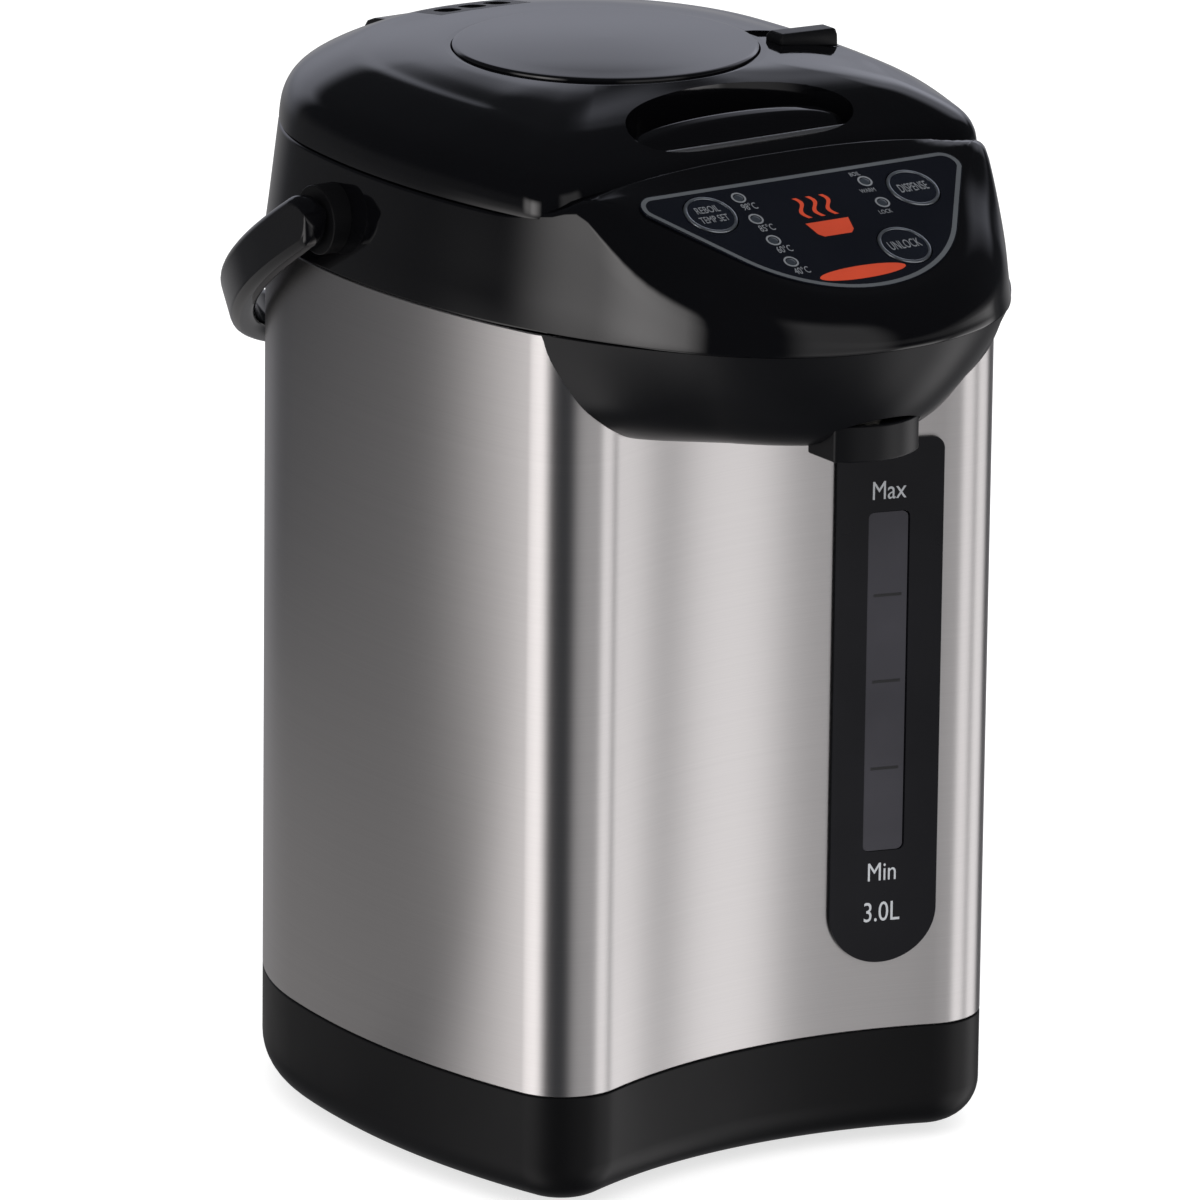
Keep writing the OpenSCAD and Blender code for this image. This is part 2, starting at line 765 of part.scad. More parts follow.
module outlet_pipe() {
    over_z = jacket_top + pipe_lift;
    way = [[tube_c[0], tube_c[1], tube_top + fit_gap], [tube_c[0], tube_c[1], over_z],
           [0, tube_c[1], over_z], [0, -spout_y, over_z],
           [0, -spout_y, chin_z - spout_h + spout_in + 2]];
    color("#d9d6cf") difference() {
        pipe(way, hose_r);
        translate(way[4] - [0, 0, 1]) cylinder(r = port_r, h = chin_h);
    }
}
module upper_housing() {
    color("#0e0e10") difference() {
        union() {
            head_shell();
            for (s = [-1, 1]) pivot_boss(s);
            for (s = [-1, 1]) hinge_ear(s);
        }
        for (s = [-1, 1]) translate([s * boss_out, -pivot_y, pivot_z]) rod_x(pivot_r, 2 * pin_in);
        translate([0, hinge_y, hinge_z]) rod_x(hinge_pin_r, 2 * ear_out + 1);
        for (p = button_places) at_panel(p)
            cylinder(r = button_r + move_gap, h = 4 * wall, center = true);
        for (p = lens_places) at_panel(p) cylinder(r = lens_r + fit_gap, h = 4 * wall, center = true);
    }
}
// Tapered block of the head, t inside its outer face
module head_block(t, z0, z1) {
    lean = shoulder_draft / shoulder_h;
    skin([for (z = [z0, z1]) at_z(head_points(t + lean * (z - jacket_top)), z)]);
}
// Everything above the shoulder, the panel and the horns beside the lid, sunk by depth
module over_head(depth) {
    big = 2 * body_w;
    low = seam_z - depth;
    translate([0, 0, low]) linear_extrude(big) polygon(lid_points(shoulder_draft - lid_gap - depth));
    on_panel() translate([-big / 2, -big, -depth]) cube([big, 2 * big, big]);
    intersection() {
        translate([0, -visor_back, visor_top]) rotate([-atan2(visor_top - seam_z, horn_l), 0, 0])
            translate([-big / 2, -big, -depth]) cube([big, 2 * big, big]);
        translate([-big / 2, -big, low]) cube([big, 2 * big, big]);
    }
}
module head_shell() {
    difference() {
        head_block(0, jacket_top, visor_top + 1);
        over_head(0);
        difference() {
            head_block(wall, jacket_top - 1, visor_top);
            over_head(wall);
            tank_ledge();
            board_posts();
        }
        translate([0, 0, rim_z]) cylinder(r = mouth_r, h = body_w, $fn = 180);
        translate([-ear_out - move_gap, hinge_y - barrel_r - move_gap, hinge_z - barrel_r - move_gap])
            cube([2 * (ear_out + move_gap), back_r, back_r]);
    }
}
// Shelf under the tank's rim
module tank_ledge() {
    difference() {
        translate([-body_w, -ledge_front, rim_z - rim_t - ledge_t])
            cube([2 * body_w, 2 * body_w, ledge_t]);
        cylinder(r = tank_r + move_gap, h = crown_z, $fn = 180);
    }
}
module board_posts() {
    for (p = post_places) at_panel(p)
        translate([0, 0, -board_depth]) cylinder(r = post_r, h = board_depth);
}
module pivot_boss(s) {
    inner = boss_out - pin_in;
    translate([s * (inner + boss_out) / 2, -pivot_y, pivot_z]) rod_x(pivot_boss_r, pin_in);
}
module hinge_ear(s) {
    root = 12;
    translate([s * (ear_in + ear_out) / 2, 0, 0]) {
        translate([0, hinge_y, hinge_z]) rod_x(barrel_r, ear_t);
        translate([-ear_t / 2, ear_y, seam_z - root]) cube([ear_t, hinge_y - ear_y, root + hinge_z - seam_z]);
    }
}
// Block of the cover under the nose, t inside its outer face
module chin_block(t) {
    skin([for (i = [len(chin_steps) - 1 : -1 : 0]) let (step = chin_steps[i])
        at_z(head_points(step[0] + t), jacket_top - step[1] * (chin_h - t) + (step[1] == 0 ? t : 0))]);
}
module spout_housing() {
    color("#17171a") difference() {
        chin_block(0);
        chin_block(wall);
        translate([0, 0, chin_z - 1]) linear_extrude(chin_h + 2) body_plan(-chin_gap);
        translate([-body_w, -front_y, 0]) cube([2 * body_w, 2 * body_w, crown_z]);
        translate([0, -spout_y, chin_z - 1]) linear_extrude(2 * wall) spout_outline(fit_gap);
    }
}
// Plan of the spout with its bowed front, grown by g
module spout_outline(g) {
    intersection() {
        square([spout_w + 2 * g, spout_d + 2 * g], center = true);
        translate([0, spout_front_r - spout_d / 2]) circle(spout_front_r + g);
    }
}
module spout_nozzle() {
    color("#121214") translate([0, -spout_y, chin_z - spout_h + spout_in]) difference() {
        linear_extrude(spout_h) spout_outline(0);
        translate([0, 0, -eps]) cylinder(r = hose_r + fit_gap, h = spout_h + 2 * eps);
    }
}
// Panel overlay's outline: upper corners and nose joined by their tangents
module overlay_outline() {
    corner = [overlay_half_w - overlay_corner_r, -overlay_corner_r];
    nose = [0, overlay_nose_r - overlay_l];
    d = nose - corner;
    turn = angle_of(d) + acos((overlay_corner_r - overlay_nose_r) / norm(d));
    a = angle_of([cos(turn), sin(turn)]);
    polygon(whole(concat(
        [[0, 0]],
        arc_points(corner, overlay_corner_r, 90, a, corner_n),
        arc_points(nose, overlay_nose_r, a, -90, back_n),
        [[0, -overlay_l]]
    )));
}
module panel_overlay() {
    color("#1b1f2a") difference() {
        on_panel() linear_extrude(overlay_t) overlay_outline();
        for (p = button_places) at_panel(p)
            cylinder(r = button_r + move_gap, h = 4 * wall, center = true);
        for (p = lens_places) at_panel(p) cylinder(r = lens_r + fit_gap, h = 4 * wall, center = true);
    }
}
module control_board() {
    switch_h = board_depth - stem_l - button_travel - move_gap;
    color("#2f5b3a") {
        at_panel([0, board_v]) translate([-board_size[0] / 2, -board_size[1] / 2, -board_depth - board_t])
            cube([board_size[0], board_size[1], board_t]);
        for (p = button_places) at_panel(p) translate([-switch_size / 2, -switch_size / 2, -board_depth - eps])
            cube([switch_size, switch_size, switch_h + eps]);
    }
}
module push_button(p) {
    at_panel(p) {
        translate([0, 0, -wall - move_gap - eps])
            cylinder(r = button_r, h = wall + move_gap + overlay_t + button_h + eps);
        translate([0, 0, -wall - move_gap - flange_t]) cylinder(r = button_r + flange_out, h = flange_t);
        translate([0, 0, -stem_l]) cylinder(r = stem_r, h = stem_l);
    }
}
module dispense_button() {
    color("#26282e") push_button(dispense_at);
}
module unlock_button() {
    color("#26282e") push_button(unlock_at);
}
module reboil_button() {
    color("#26282e") push_button(reboil_at);
}
module indicator_lenses() {
    color("#7f8a94") for (p = lens_places) at_panel(p)
        translate([0, 0, -wall]) cylinder(r = lens_r, h = wall + overlay_t);
}
// Ring of the lid between its outline (k = 0) and the plate's well (k = 1), t inside its skin
function lid_ring(t, k) =
    let (c = [0, -plate_y])
    [for (p = lid_points(shoulder_draft + t)) p + k * (c + (well_r + crown_w) * (p - c) / norm(p - c) - p)];
// Solid of the lid, t inside its skin, with its foot lowered by drop
module lid_block(t, drop) {
    rise = crown_z - lid_z - t;
    skin([for (step = lid_steps)
        at_z(lid_ring(t, step[0]), lid_z + step[1] * rise - (step[0] == 0 ? drop : 0))]);
}
module lid_shell() {
    color("#0c0c0e") difference() {
        union() {
            difference() {
                lid_block(0, 0);
                difference() {
                    lid_block(wall, 1);
                    translate([0, -plate_y, well_z]) cylinder(r = well_r + well_t, h = lid_rise, $fn = 120);
                    recess_block(wall);
                }
            }
            hinge_lug();
            lock_bed(lock_bed_z - lock_bed_t, lock_bed_t, 0);
        }
        lock_bed(lock_bed_z, lid_rise, eps);
        translate([0, -plate_y, 0]) cylinder(r = well_r, h = 2 * crown_z, $fn = 120);
        recess_block(0);
        translate([0, -latch_pin_y, latch_z]) rod_x(latch_pin_r, latch_pin_l);
        vent_block(fit_gap);
        translate([lock_x - lock_stem[0] / 2 - move_gap, -lock_y - lock_stem[1] / 2 - move_gap, lock_foot_z])
            cube([lock_stem[0] + 2 * move_gap, lock_stem[1] + lock_travel + 2 * move_gap, lid_rise]);
        for (s = [-1, 1]) ear_notch(s);
        translate([0, hinge_y, hinge_z]) rod_x(hinge_pin_r + pin_gap, 2 * ear_out);
    }
}
// Flat track under the lock's knob, h high from z and grown by g
module lock_bed(z, h, g) {
    side = move_gap + g;
    translate([lock_x - lock_knob[0] / 2 - side, -lock_y - lock_knob[1] / 2 - side, z])
        cube([lock_knob[0] + 2 * side, lock_knob[1] + lock_travel + 2 * side, h]);
}
module vent_block(g) {
    translate([-vent_size[0] / 2 - g, vent_y - vent_size[1] / 2 - g, vent_z - (g > 0 ? wall : 0)])
        cube([vent_size[0] + 2 * g, vent_size[1] + 2 * g, lid_rise]);
}
module recess_block(t) {
    intersection() {
        translate([-recess_w / 2 - t, -recess_y - recess_d / 2 - t, recess_z - t])
            cube([recess_w + 2 * t, recess_d + 2 * t, 2 * lid_rise]);
        translate([0, -moon_y, recess_z - lid_rise]) cylinder(r = moon_r + t, h = 4 * lid_rise, $fn = 160);
    }
}
// Room for a hinge ear in the lid
module ear_notch(s) {
    translate([s * (ear_in + ear_out) / 2 - ear_t / 2 - move_gap, ear_y - move_gap, lid_z - 1])
        cube([ear_t + 2 * move_gap, back_r, hinge_z + barrel_r + move_gap - lid_z + 1]);
}
module hinge_lug() {
    outline = [
        [hinge_y - lug_d, lid_z + wall], [hinge_y - lug_d, seam_z + lug_top],
        [hinge_y - barrel_r, seam_z + lug_top - wall], [hinge_y + barrel_r, hinge_z + wall],
        [hinge_y, hinge_z - wall], [hinge_y - barrel_r, lid_z + wall]
    ];
    translate([-lug_half, 0, 0]) rotate([90, 0, 90]) linear_extrude(2 * lug_half) polygon(outline);
    translate([0, hinge_y, hinge_z]) rod_x(barrel_r, 2 * lug_half);
}
module lid_liner() {
    color("#e9e7e2") difference() {
        union() {
            translate([0, 0, lid_z]) linear_extrude(wall) polygon(lid_ring(liner_in, 0));
            translate([0, 0, plug_z]) cylinder(r = plug_r, h = lid_z - plug_z + eps, $fn = 120);
            translate([0, -plate_y, cup_z]) cylinder(r = cup_r + wall, h = lid_z - cup_z);
        }
        translate([0, -plate_y, cup_z + wall]) cylinder(r = cup_r, h = lid_rise + seam_z);
        translate([-ear_out - move_gap, ear_y - move_gap, lid_z - 1]) cube([2 * (ear_out + move_gap), back_r, back_r]);
    }
}
module lid_gasket() {
    z = rim_z + gasket_gap;
    color("#cfcac0") translate([0, 0, z]) difference() {
        cylinder(r = gasket_out, h = lid_z - z, $fn = 120);
        translate([0, 0, -eps]) cylinder(r = gasket_in, h = lid_z, $fn = 120);
    }
}
module steam_vent() {
    pitch = vent_slot[0] + wall;
    color("#1a1a1c") difference() {
        intersection() {
            lid_block(0, 0);
            vent_block(0);
        }
        for (i = [0 : vent_slots - 1])
            translate([(i - (vent_slots - 1) / 2) * pitch - vent_slot[0] / 2, vent_y - vent_slot[1] / 2, 0])
                cube([vent_slot[0], vent_slot[1], 2 * crown_z]);
    }
}
module hinge_pin() {
    color("#b0b0b4") translate([0, hinge_y, hinge_z]) rod_x(hinge_pin_r - fixed_gap, 2 * ear_out);
}
module pump_plate() {
    color("#101013") translate([0, -plate_y, plate_top - plate_t]) cylinder(r = plate_r, h = plate_t, $fn = 120);
}
module air_bellows() {
    z = cup_z + wall + gasket_gap;
    color("#3a3a3e") translate([0, -plate_y, z]) difference() {
        cylinder(r = bellows_r, h = plate_top - plate_t - gasket_gap - z);
        translate([0, 0, -eps]) cylinder(r = bellows_r - bellows_t, h = crown_z);
    }
}
module plate_spring() {
    z = cup_z + wall + gasket_gap;
    color("#a5a5a8") translate([0, -plate_y, z]) difference() {
        cylinder(r = spring_r, h = plate_top - plate_t - gasket_gap - z);
        translate([0, 0, -eps]) cylinder(r = spring_r - spring_t, h = crown_z);
    }
}
module pump_lock() {
    color("#161619") translate([lock_x, -lock_y, 0]) {
        translate([-lock_knob[0] / 2, -lock_knob[1] / 2, lock_z]) cube(lock_knob);
        translate([-lock_stem[0] / 2, -lock_stem[1] / 2, lock_foot_z])
            cube([lock_stem[0], lock_stem[1], lock_z - lock_foot_z + 1]);
        translate([-lock_foot[0] / 2, -lock_foot[1] / 2, lock_foot_z]) cube(lock_foot);
    }
}
module lid_latch() {
    color("#141417") difference() {
        intersection() {
            translate([-latch_w / 2, -latch_y - latch_d / 2, latch_z - latch_t / 2])
                cube([latch_w, latch_d, latch_t]);
            translate([0, -moon_y, recess_z]) cylinder(r = moon_r - fit_gap - move_gap, h = lid_rise, $fn = 160);
        }
        translate([0, -latch_pin_y, latch_z]) rod_x(latch_pin_r + pin_gap, recess_w);
    }
}
module latch_pin() {
    color("#b0b0b4") translate([0, -latch_pin_y, latch_z]) rod_x(latch_pin_r - fixed_gap, latch_pin_l - 2 * fixed_gap);
}
// Right half of the handle's middle line, moved out by t, and the whole of it
function bow_half(t) = concat(
    arc_points([handle_half_w - flank_r, 0], flank_r + t, 0, flank_a, flank_n),
    arc_points([0, bow_y], bow_r + t, flank_a, 90, bow_n)
);
function bow_line(t) = let (h = bow_half(t)) concat(
    h, [[0, bow_y + bow_r + t]], [for (i = [len(h) - 1 : -1 : 0]) [-h[i][0], h[i][1]]]
);
module handle() {
    inside = bow_line(-bar_t / 2);
    color("#0d0d0f") translate([0, -pivot_y, pivot_z]) rotate([-handle_tilt, 0, 0]) difference() {
        union() {
            translate([0, 0, -bar_w / 2]) linear_extrude(bar_w)
                polygon(concat(bow_line(bar_t / 2), [for (i = [len(inside) - 1 : -1 : 0]) inside[i]]));
            for (s = [-1, 1]) translate([s * handle_half_w, 0, 0]) rod_x(bar_w / 2, bar_t);
        }
        for (s = [-1, 1]) translate([s * handle_in, 0, 0]) rod_x(pivot_r + pin_gap, 2 * pin_out + 1);
    }
}
module pivot_pins() {
    color("#b0b0b4") for (s = [-1, 1])
        translate([s * (handle_in + (pin_out - pin_in) / 2), -pivot_y, pivot_z])
            rod_x(pivot_r - fixed_gap, pin_in + pin_out);
}

base_shell();
bottom_cover();
feet();
cover_screws();
power_inlet();
inlet_pins();
power_board();
outer_jacket();
gauge_panel();
gauge_window();
level_tube();
inner_tank();
heater_plate();
heating_element();
thermostat();
pump_motor();
pump_housing();
pump_impeller();
inlet_hose();
riser_hose();
outlet_pipe();
upper_housing();
spout_housing();
spout_nozzle();
panel_overlay();
control_board();
dispense_button();
unlock_button();
reboil_button();
indicator_lenses();
lid_shell();
lid_liner();
lid_gasket();
steam_vent();
hinge_pin();
pump_plate();
air_bellows();
plate_spring();
pump_lock();
lid_latch();
latch_pin();
handle();
pivot_pins();
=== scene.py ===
import math
import bmesh
import bpy
import numpy as np
from mathutils import Matrix, Vector


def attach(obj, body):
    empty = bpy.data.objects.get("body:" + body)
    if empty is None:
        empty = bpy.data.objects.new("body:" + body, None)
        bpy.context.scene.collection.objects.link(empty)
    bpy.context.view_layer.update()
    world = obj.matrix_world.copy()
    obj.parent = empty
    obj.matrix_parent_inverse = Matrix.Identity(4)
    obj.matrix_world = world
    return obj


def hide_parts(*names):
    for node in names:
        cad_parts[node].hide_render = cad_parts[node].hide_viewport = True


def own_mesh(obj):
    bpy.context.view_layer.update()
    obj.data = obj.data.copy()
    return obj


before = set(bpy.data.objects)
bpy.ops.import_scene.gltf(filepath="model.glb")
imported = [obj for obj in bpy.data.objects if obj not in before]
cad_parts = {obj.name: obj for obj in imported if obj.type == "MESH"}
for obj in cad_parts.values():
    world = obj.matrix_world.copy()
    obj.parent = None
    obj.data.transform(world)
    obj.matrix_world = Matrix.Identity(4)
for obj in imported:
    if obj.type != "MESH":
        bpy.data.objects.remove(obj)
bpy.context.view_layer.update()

# Sizes in millimetres. The outlines in plan
BODY_W, BACK_R, SIDE_R = 200.0, 98.4, 275.0
FRONT_Y, FRONT_R, CORNER_R = 106.0, 170.5, 20.0
NOSE_R, NOSE_REACH, CHEEK_R = 76.0, 182.4, 200.0
# Base, jacket and shoulder
FOOT_H, BASE_TOP, JACKET_TOP, SEAM_Z = 3.0, 40.0, 286.0, 320.0
DRAFT, SHOULDER_H, WALL, JACKET_T = 4.0, 34.0, 2.5, 0.8
BASE_ROUND, BASE_FLANGE, COLLAR_TOP, COLLAR_T = 14.0, 17.0, 44.0, 2.3
INLET_LOW, INLET_HIGH = (-17.2, 74, 13.8), (17.2, 104, 36.2)
MOUTH_R, SHELF = 86.0, (84.4, 90.5, 308.1, 310.45)
# Sloping panel and the visor behind it
PANEL_Y, PANEL_Z, SLOPE = 119.0, 327.0, math.radians(26)
VISOR_BACK, VISOR_R, BEAD, HORN_L = 109.0, 2.2, 1.6, 21.0
VISOR_TOP = PANEL_Z + (PANEL_Y - VISOR_BACK) * math.tan(SLOPE) + BEAD
FOIL_T, PRINT_LOW, PRINT_HIGH, TEXT_H = 0.8, 0.78, 0.86, 0.82
BUTTONS = {"dispense": (36.5, 14.5), "unlock": (17.6, 39.3), "reboil": (-38.5, 12.5)}
BUTTON_R, BUTTON_GAP, LENS_R, LENS_PITCH = 8.6, 0.4, 1.6, 10.6
LENSES = ([(-24.6, 6.8 + LENS_PITCH * i) for i in range(4)]
          + [(22.2, 8.2 + LENS_PITCH * i) for i in range(2)])
# Lid with its plate, lock, vent and hinge
LID_FRONT, LID_CORNER, LID_Z, LID_WAY = 108.4, 20.0, 320.4, 49.0
PLATE_R, PLATE_Y, WELL_R, WELL_LIP = 48.6, 16.0, 49.0, 1.6
BED_X, BED_Y, BED_Z = (48.6, 71.4), (-43.2, -21.4), (346.2, 343.4)
VENT_W, VENT_Y, VENT_GAP = 17.0, (52.0, 68.0), 0.2
HINGE_Y, HINGE_Z, BARREL_R, HINGE_PIN_R = 97.0, 323.0, 5.0, 2.0
LUG_W, CAP_W, EAR_X, NOTCH_W = 11.5, 14.0, (11.9, 16.9), 17.3
PIVOT_Y, PIVOT_Z, PIVOT_PIN_R, BOSS_R = 9.0, 303.0, 3.0, 11.0
# Water gauge and spout
GAUGE_X, GAUGE_W, GAUGE_Z, GAUGE_TOP = 43.8, 35.0, 62.8, 235.0
WINDOW_W, WINDOW_Z, WINDOW_H, WINDOW_R = 13.4, 99.8, 111.7, 2.0
CHIN_Z, SPOUT_Y, NOZZLE_Y = 249.0, 161.0, 164.2
NOZZLE_LOW, NOZZLE_HIGH, BORE_R = 248.4, 260.0, 4.2
SPOUT_HALF, SPOUT_BACK, SPOUT_BOW, SPOUT_FRONT = 16.0, 12.0, 25.0, 8.0
# Heights and depths that cutting tools reach, past everything they cut
HOLE_LOW, HOLE_HIGH, UNDER_LID, ABOVE, BEHIND = 240.0, 262.0, 300.0, 400.0, 200.0


# Plan curves. Of two circles' crossings, the one further to the right
def meet(a, ra, b, rb):
    d = b - a
    l = d.length
    u = d / l
    v = Vector((-u.y, u.x))
    s = (ra * ra - rb * rb + l * l) / (2 * l)
    h = math.sqrt(ra * ra - s * s)
    p, q = a + s * u + h * v, a + s * u - h * v
    return p if p.x > q.x else q


def angle_of(v):
    return math.atan2(v.y, v.x)


def arc(c, r, a0, a1, n):
    angles = [a0 + (a1 - a0) * i / n for i in range(n)]
    return [(c[0] + r * math.cos(a), c[1] + r * math.sin(a)) for a in angles]


SIDE_C = Vector((BODY_W / 2 - SIDE_R,
                 -math.sqrt((SIDE_R - BACK_R) ** 2 - (SIDE_R - BODY_W / 2) ** 2)))
FRONT_C = Vector((0, -FRONT_Y - FRONT_R))
CORNER_C = meet(SIDE_C, SIDE_R - CORNER_R, FRONT_C, FRONT_R + CORNER_R)
NOSE_C = Vector((0, NOSE_R - NOSE_REACH))
CHEEK_C = meet(NOSE_C, CHEEK_R - NOSE_R, SIDE_C, SIDE_R - CHEEK_R)
LID_CY = LID_CORNER - LID_FRONT - DRAFT
LID_C = Vector((SIDE_C.x + math.sqrt((SIDE_R - LID_CORNER) ** 2 - (LID_CY - SIDE_C.y) ** 2), LID_CY))
CORNER_A0, CORNER_A1 = angle_of(FRONT_C - CORNER_C), angle_of(CORNER_C - SIDE_C)
SIDE_A1 = angle_of(-SIDE_C)
CHEEK_A0, CHEEK_A1 = angle_of(NOSE_C - CHEEK_C), angle_of(CHEEK_C - SIDE_C)
LID_A1 = angle_of(LID_C - SIDE_C)


# Whole outline from its right half
def whole(p):
    return p + [(-x, y) for x, y in p[-2:0:-1]]


# Side and back from angle a on; t is the inset, here and in the outlines that follow
def rear(t, a):
    return (arc(SIDE_C, SIDE_R - t, a, SIDE_A1, 20)
            + arc((0, 0), BACK_R - t, SIDE_A1, math.pi / 2, 40) + [(0, BACK_R - t)])


def body_points(t):
    return whole(arc(FRONT_C, FRONT_R + t, math.pi / 2, CORNER_A0 + math.pi, 24)
                 + arc(CORNER_C, CORNER_R - t, CORNER_A0, CORNER_A1, 18) + rear(t, CORNER_A1))


def head_points(t):
    return whole(arc(NOSE_C, NOSE_R - t, -math.pi / 2, CHEEK_A0, 28)
                 + arc(CHEEK_C, CHEEK_R - t, CHEEK_A0, CHEEK_A1, 22) + rear(t, CHEEK_A1))


def lid_points(t):
    front = [(x * LID_C.x / 10, t - LID_FRONT - DRAFT) for x in range(10)]
    return whole(front + arc(LID_C, LID_CORNER - t, -math.pi / 2, LID_A1, 14) + rear(t, LID_A1))


# Lid's outline moved s towards the plate: by that much near the rim, and evenly round the plate at the end
def lid_ring(t, s):
    ring = []
    for x, y in lid_points(DRAFT + t):
        d = Vector((x, y + PLATE_Y))
        whole_way = d.length - WELL_R - WELL_LIP
        way = (s + (whole_way - LID_WAY) * (s / LID_WAY) ** 3) / d.length
        ring.append((x - way * d.x, y - way * d.y))
    return ring


def circle(c, r, n):
    return arc(c, r, 0, 2 * math.pi, n)


def at_z(ring, z):
    return [(x, y, z) for x, y in ring]


# Smooth curve through points, sampled n times per span
def spline(points, n):
    out = []
    last = len(points) - 1
    for i in range(last):
        p0, p1 = points[max(i - 1, 0)], points[i]
        p2, p3 = points[i + 1], points[min(i + 2, last)]
        for k in range(n):
            t = k / n
            out.append(tuple(0.5 * (2 * b + (c - a) * t + (2 * a - 5 * b + 4 * c - d) * t * t
                                    + (3 * b - a - 3 * c + d) * t ** 3)
                             for a, b, c, d in zip(p0, p1, p2, p3)))
    return out + [tuple(points[-1])]


# Mesh building
def make(name, verts, faces):
    mesh = bpy.data.meshes.new(name)
    mesh.from_pydata([(x / 1000, y / 1000, z / 1000) for x, y, z in verts], [], faces)
    bm = bmesh.new()
    bm.from_mesh(mesh)
    bmesh.ops.recalc_face_normals(bm, faces=bm.faces)
    bm.to_mesh(mesh)
    bm.free()
    obj = bpy.data.objects.new(name, mesh)
    bpy.context.scene.collection.objects.link(obj)
    return obj


def loft(name, rings, loop=False):
    n, m = len(rings[0]), len(rings)
    verts = [p for ring in rings for p in ring]
    faces = []
    for j in range(m if loop else m - 1):
        k = (j + 1) % m
        for i in range(n):
            i2 = (i + 1) % n
            faces.append((j * n + i, j * n + i2, k * n + i2, k * n + i))
    if not loop:
        faces.append(tuple(range(n - 1, -1, -1)))
        faces.append(tuple((m - 1) * n + i for i in range(n)))
    return make(name, verts, faces)


def prism(name, outline, z0, z1):
    return loft(name, [at_z(outline, z0), at_z(outline, z1)])


def box(name, lo, hi):
    return prism(name, [(lo[0], lo[1]), (hi[0], lo[1]), (hi[0], hi[1]), (lo[0], hi[1])], lo[2], hi[2])


# Prism along y of an outline in x and z
def across(name, outline, y0, y1):
    return loft(name, [[(x, y, z) for x, z in outline] for y in (y0, y1)])


# Prism along x, to both sides of the middle, of an outline in y and z
def sideways(name, outline, half):
    return loft(name, [[(x, y, z) for y, z in outline] for x in (-half, half)])


def rod(name, r, p, q, n=48):
    p, q = Vector(p), Vector(q)
    u = (q - p).normalized()
    side = u.orthogonal().normalized()
    up = u.cross(side)
    angles = [2 * math.pi * i / n for i in range(n)]
    ring = [r * (math.cos(a) * side + math.sin(a) * up) for a in angles]
    return loft(name, [[tuple(p + v) for v in ring], [tuple(q + v) for v in ring]])


# Turned piece: profile of (radius, height) pairs round an upright axis, a ring if loop is true
def lathe(name, profile, centre=(0, 0, 0), n=96, loop=False):
    least_r = 0.01
    rings = [at_z(circle(centre, max(r, least_r), n), centre[2] + z) for r, z in profile]
    return loft(name, rings, loop)


# Replace a mesh by what its modifiers make of it
def apply(obj):
    graph = bpy.context.evaluated_depsgraph_get()
    mesh = bpy.data.meshes.new_from_object(obj.evaluated_get(graph))
    old = obj.data
    obj.modifiers.clear()
    obj.data = mesh
    bpy.data.meshes.remove(old)


def combine(obj, tool, operation):
    mod = obj.modifiers.new("combine", "BOOLEAN")
    mod.operation = operation
    mod.solver = "EXACT"
    mod.object = tool
    apply(obj)
    mesh = tool.data
    bpy.data.objects.remove(tool)
    bpy.data.meshes.remove(mesh)


# Close up points and faces that lie on each other
def clean(obj):
    bm = bmesh.new()
    bm.from_mesh(obj.data)
    bmesh.ops.remove_doubles(bm, verts=bm.verts, dist=0.00001)
    bmesh.ops.dissolve_degenerate(bm, edges=bm.edges, dist=0.000005)
    bmesh.ops.recalc_face_normals(bm, faces=bm.faces)
    bm.to_mesh(obj.data)
    bm.free()


def cut(obj, *tools):
    for tool in tools:
        combine(obj, tool, "DIFFERENCE")


def bevel(obj, width, segments=3, angle=32):
    mod = obj.modifiers.new("bevel", "BEVEL")
    mod.width = width / 1000
    mod.segments = segments
    mod.limit_method = "ANGLE"
    mod.angle_limit = math.radians(angle)
    mod.use_clamp_overlap = True
    mod.miter_outer = "MITER_ARC"
    apply(obj)


def smooth(obj, angle=32):
    for poly in obj.data.polygons:
        poly.use_smooth = True
    obj.data.set_sharp_from_angle(angle=math.radians(angle))
    mod = obj.modifiers.new("normals", "WEIGHTED_NORMAL")
    mod.keep_sharp = True
    apply(obj)


# Give a finished piece its material and body, and hide the nodes that it stands for
def dress(obj, material, body, slot, *nodes):
    obj.data.materials.clear()
    obj.data.materials.append(material)
    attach(obj, body)
    if nodes:
        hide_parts(*nodes)
    return obj


# Panel frame: x across, v down the slope, h out of the panel
PANEL = (Matrix.Translation((0, -PANEL_Y, PANEL_Z)) @ Matrix.Rotation(SLOPE, 4, "X"))


def on_panel(obj):
    m = PANEL.copy()
    m.translation = m.translation / 1000
    obj.data.transform(m)
    return obj


# Materials, from procedural nodes alone
def shader(name, base, rough, metal=0.0, spec=0.5):
    mat = bpy.data.materials.new(name)
    mat.use_nodes = True
    tree = mat.node_tree
    bsdf = tree.nodes["Principled BSDF"]
    bsdf.inputs["Base Color"].default_value = (*base, 1)
    bsdf.inputs["Roughness"].default_value = rough
    bsdf.inputs["Metallic"].default_value = metal
    bsdf.inputs["Specular IOR Level"].default_value = spec
    return mat, tree, bsdf


def place(tree, scale):
    coord = tree.nodes.new("ShaderNodeTexCoord")
    mapping = tree.nodes.new("ShaderNodeMapping")
    mapping.inputs["Scale"].default_value = scale
    tree.links.new(coord.outputs["Object"], mapping.inputs["Vector"])
    return mapping.outputs["Vector"]


def noise(tree, vector, scale, detail=4.0, rough=0.55):
    node = tree.nodes.new("ShaderNodeTexNoise")
    node.inputs["Scale"].default_value = scale
    node.inputs["Detail"].default_value = detail
    node.inputs["Roughness"].default_value = rough
    tree.links.new(vector, node.inputs["Vector"])
    return node.outputs["Fac"]


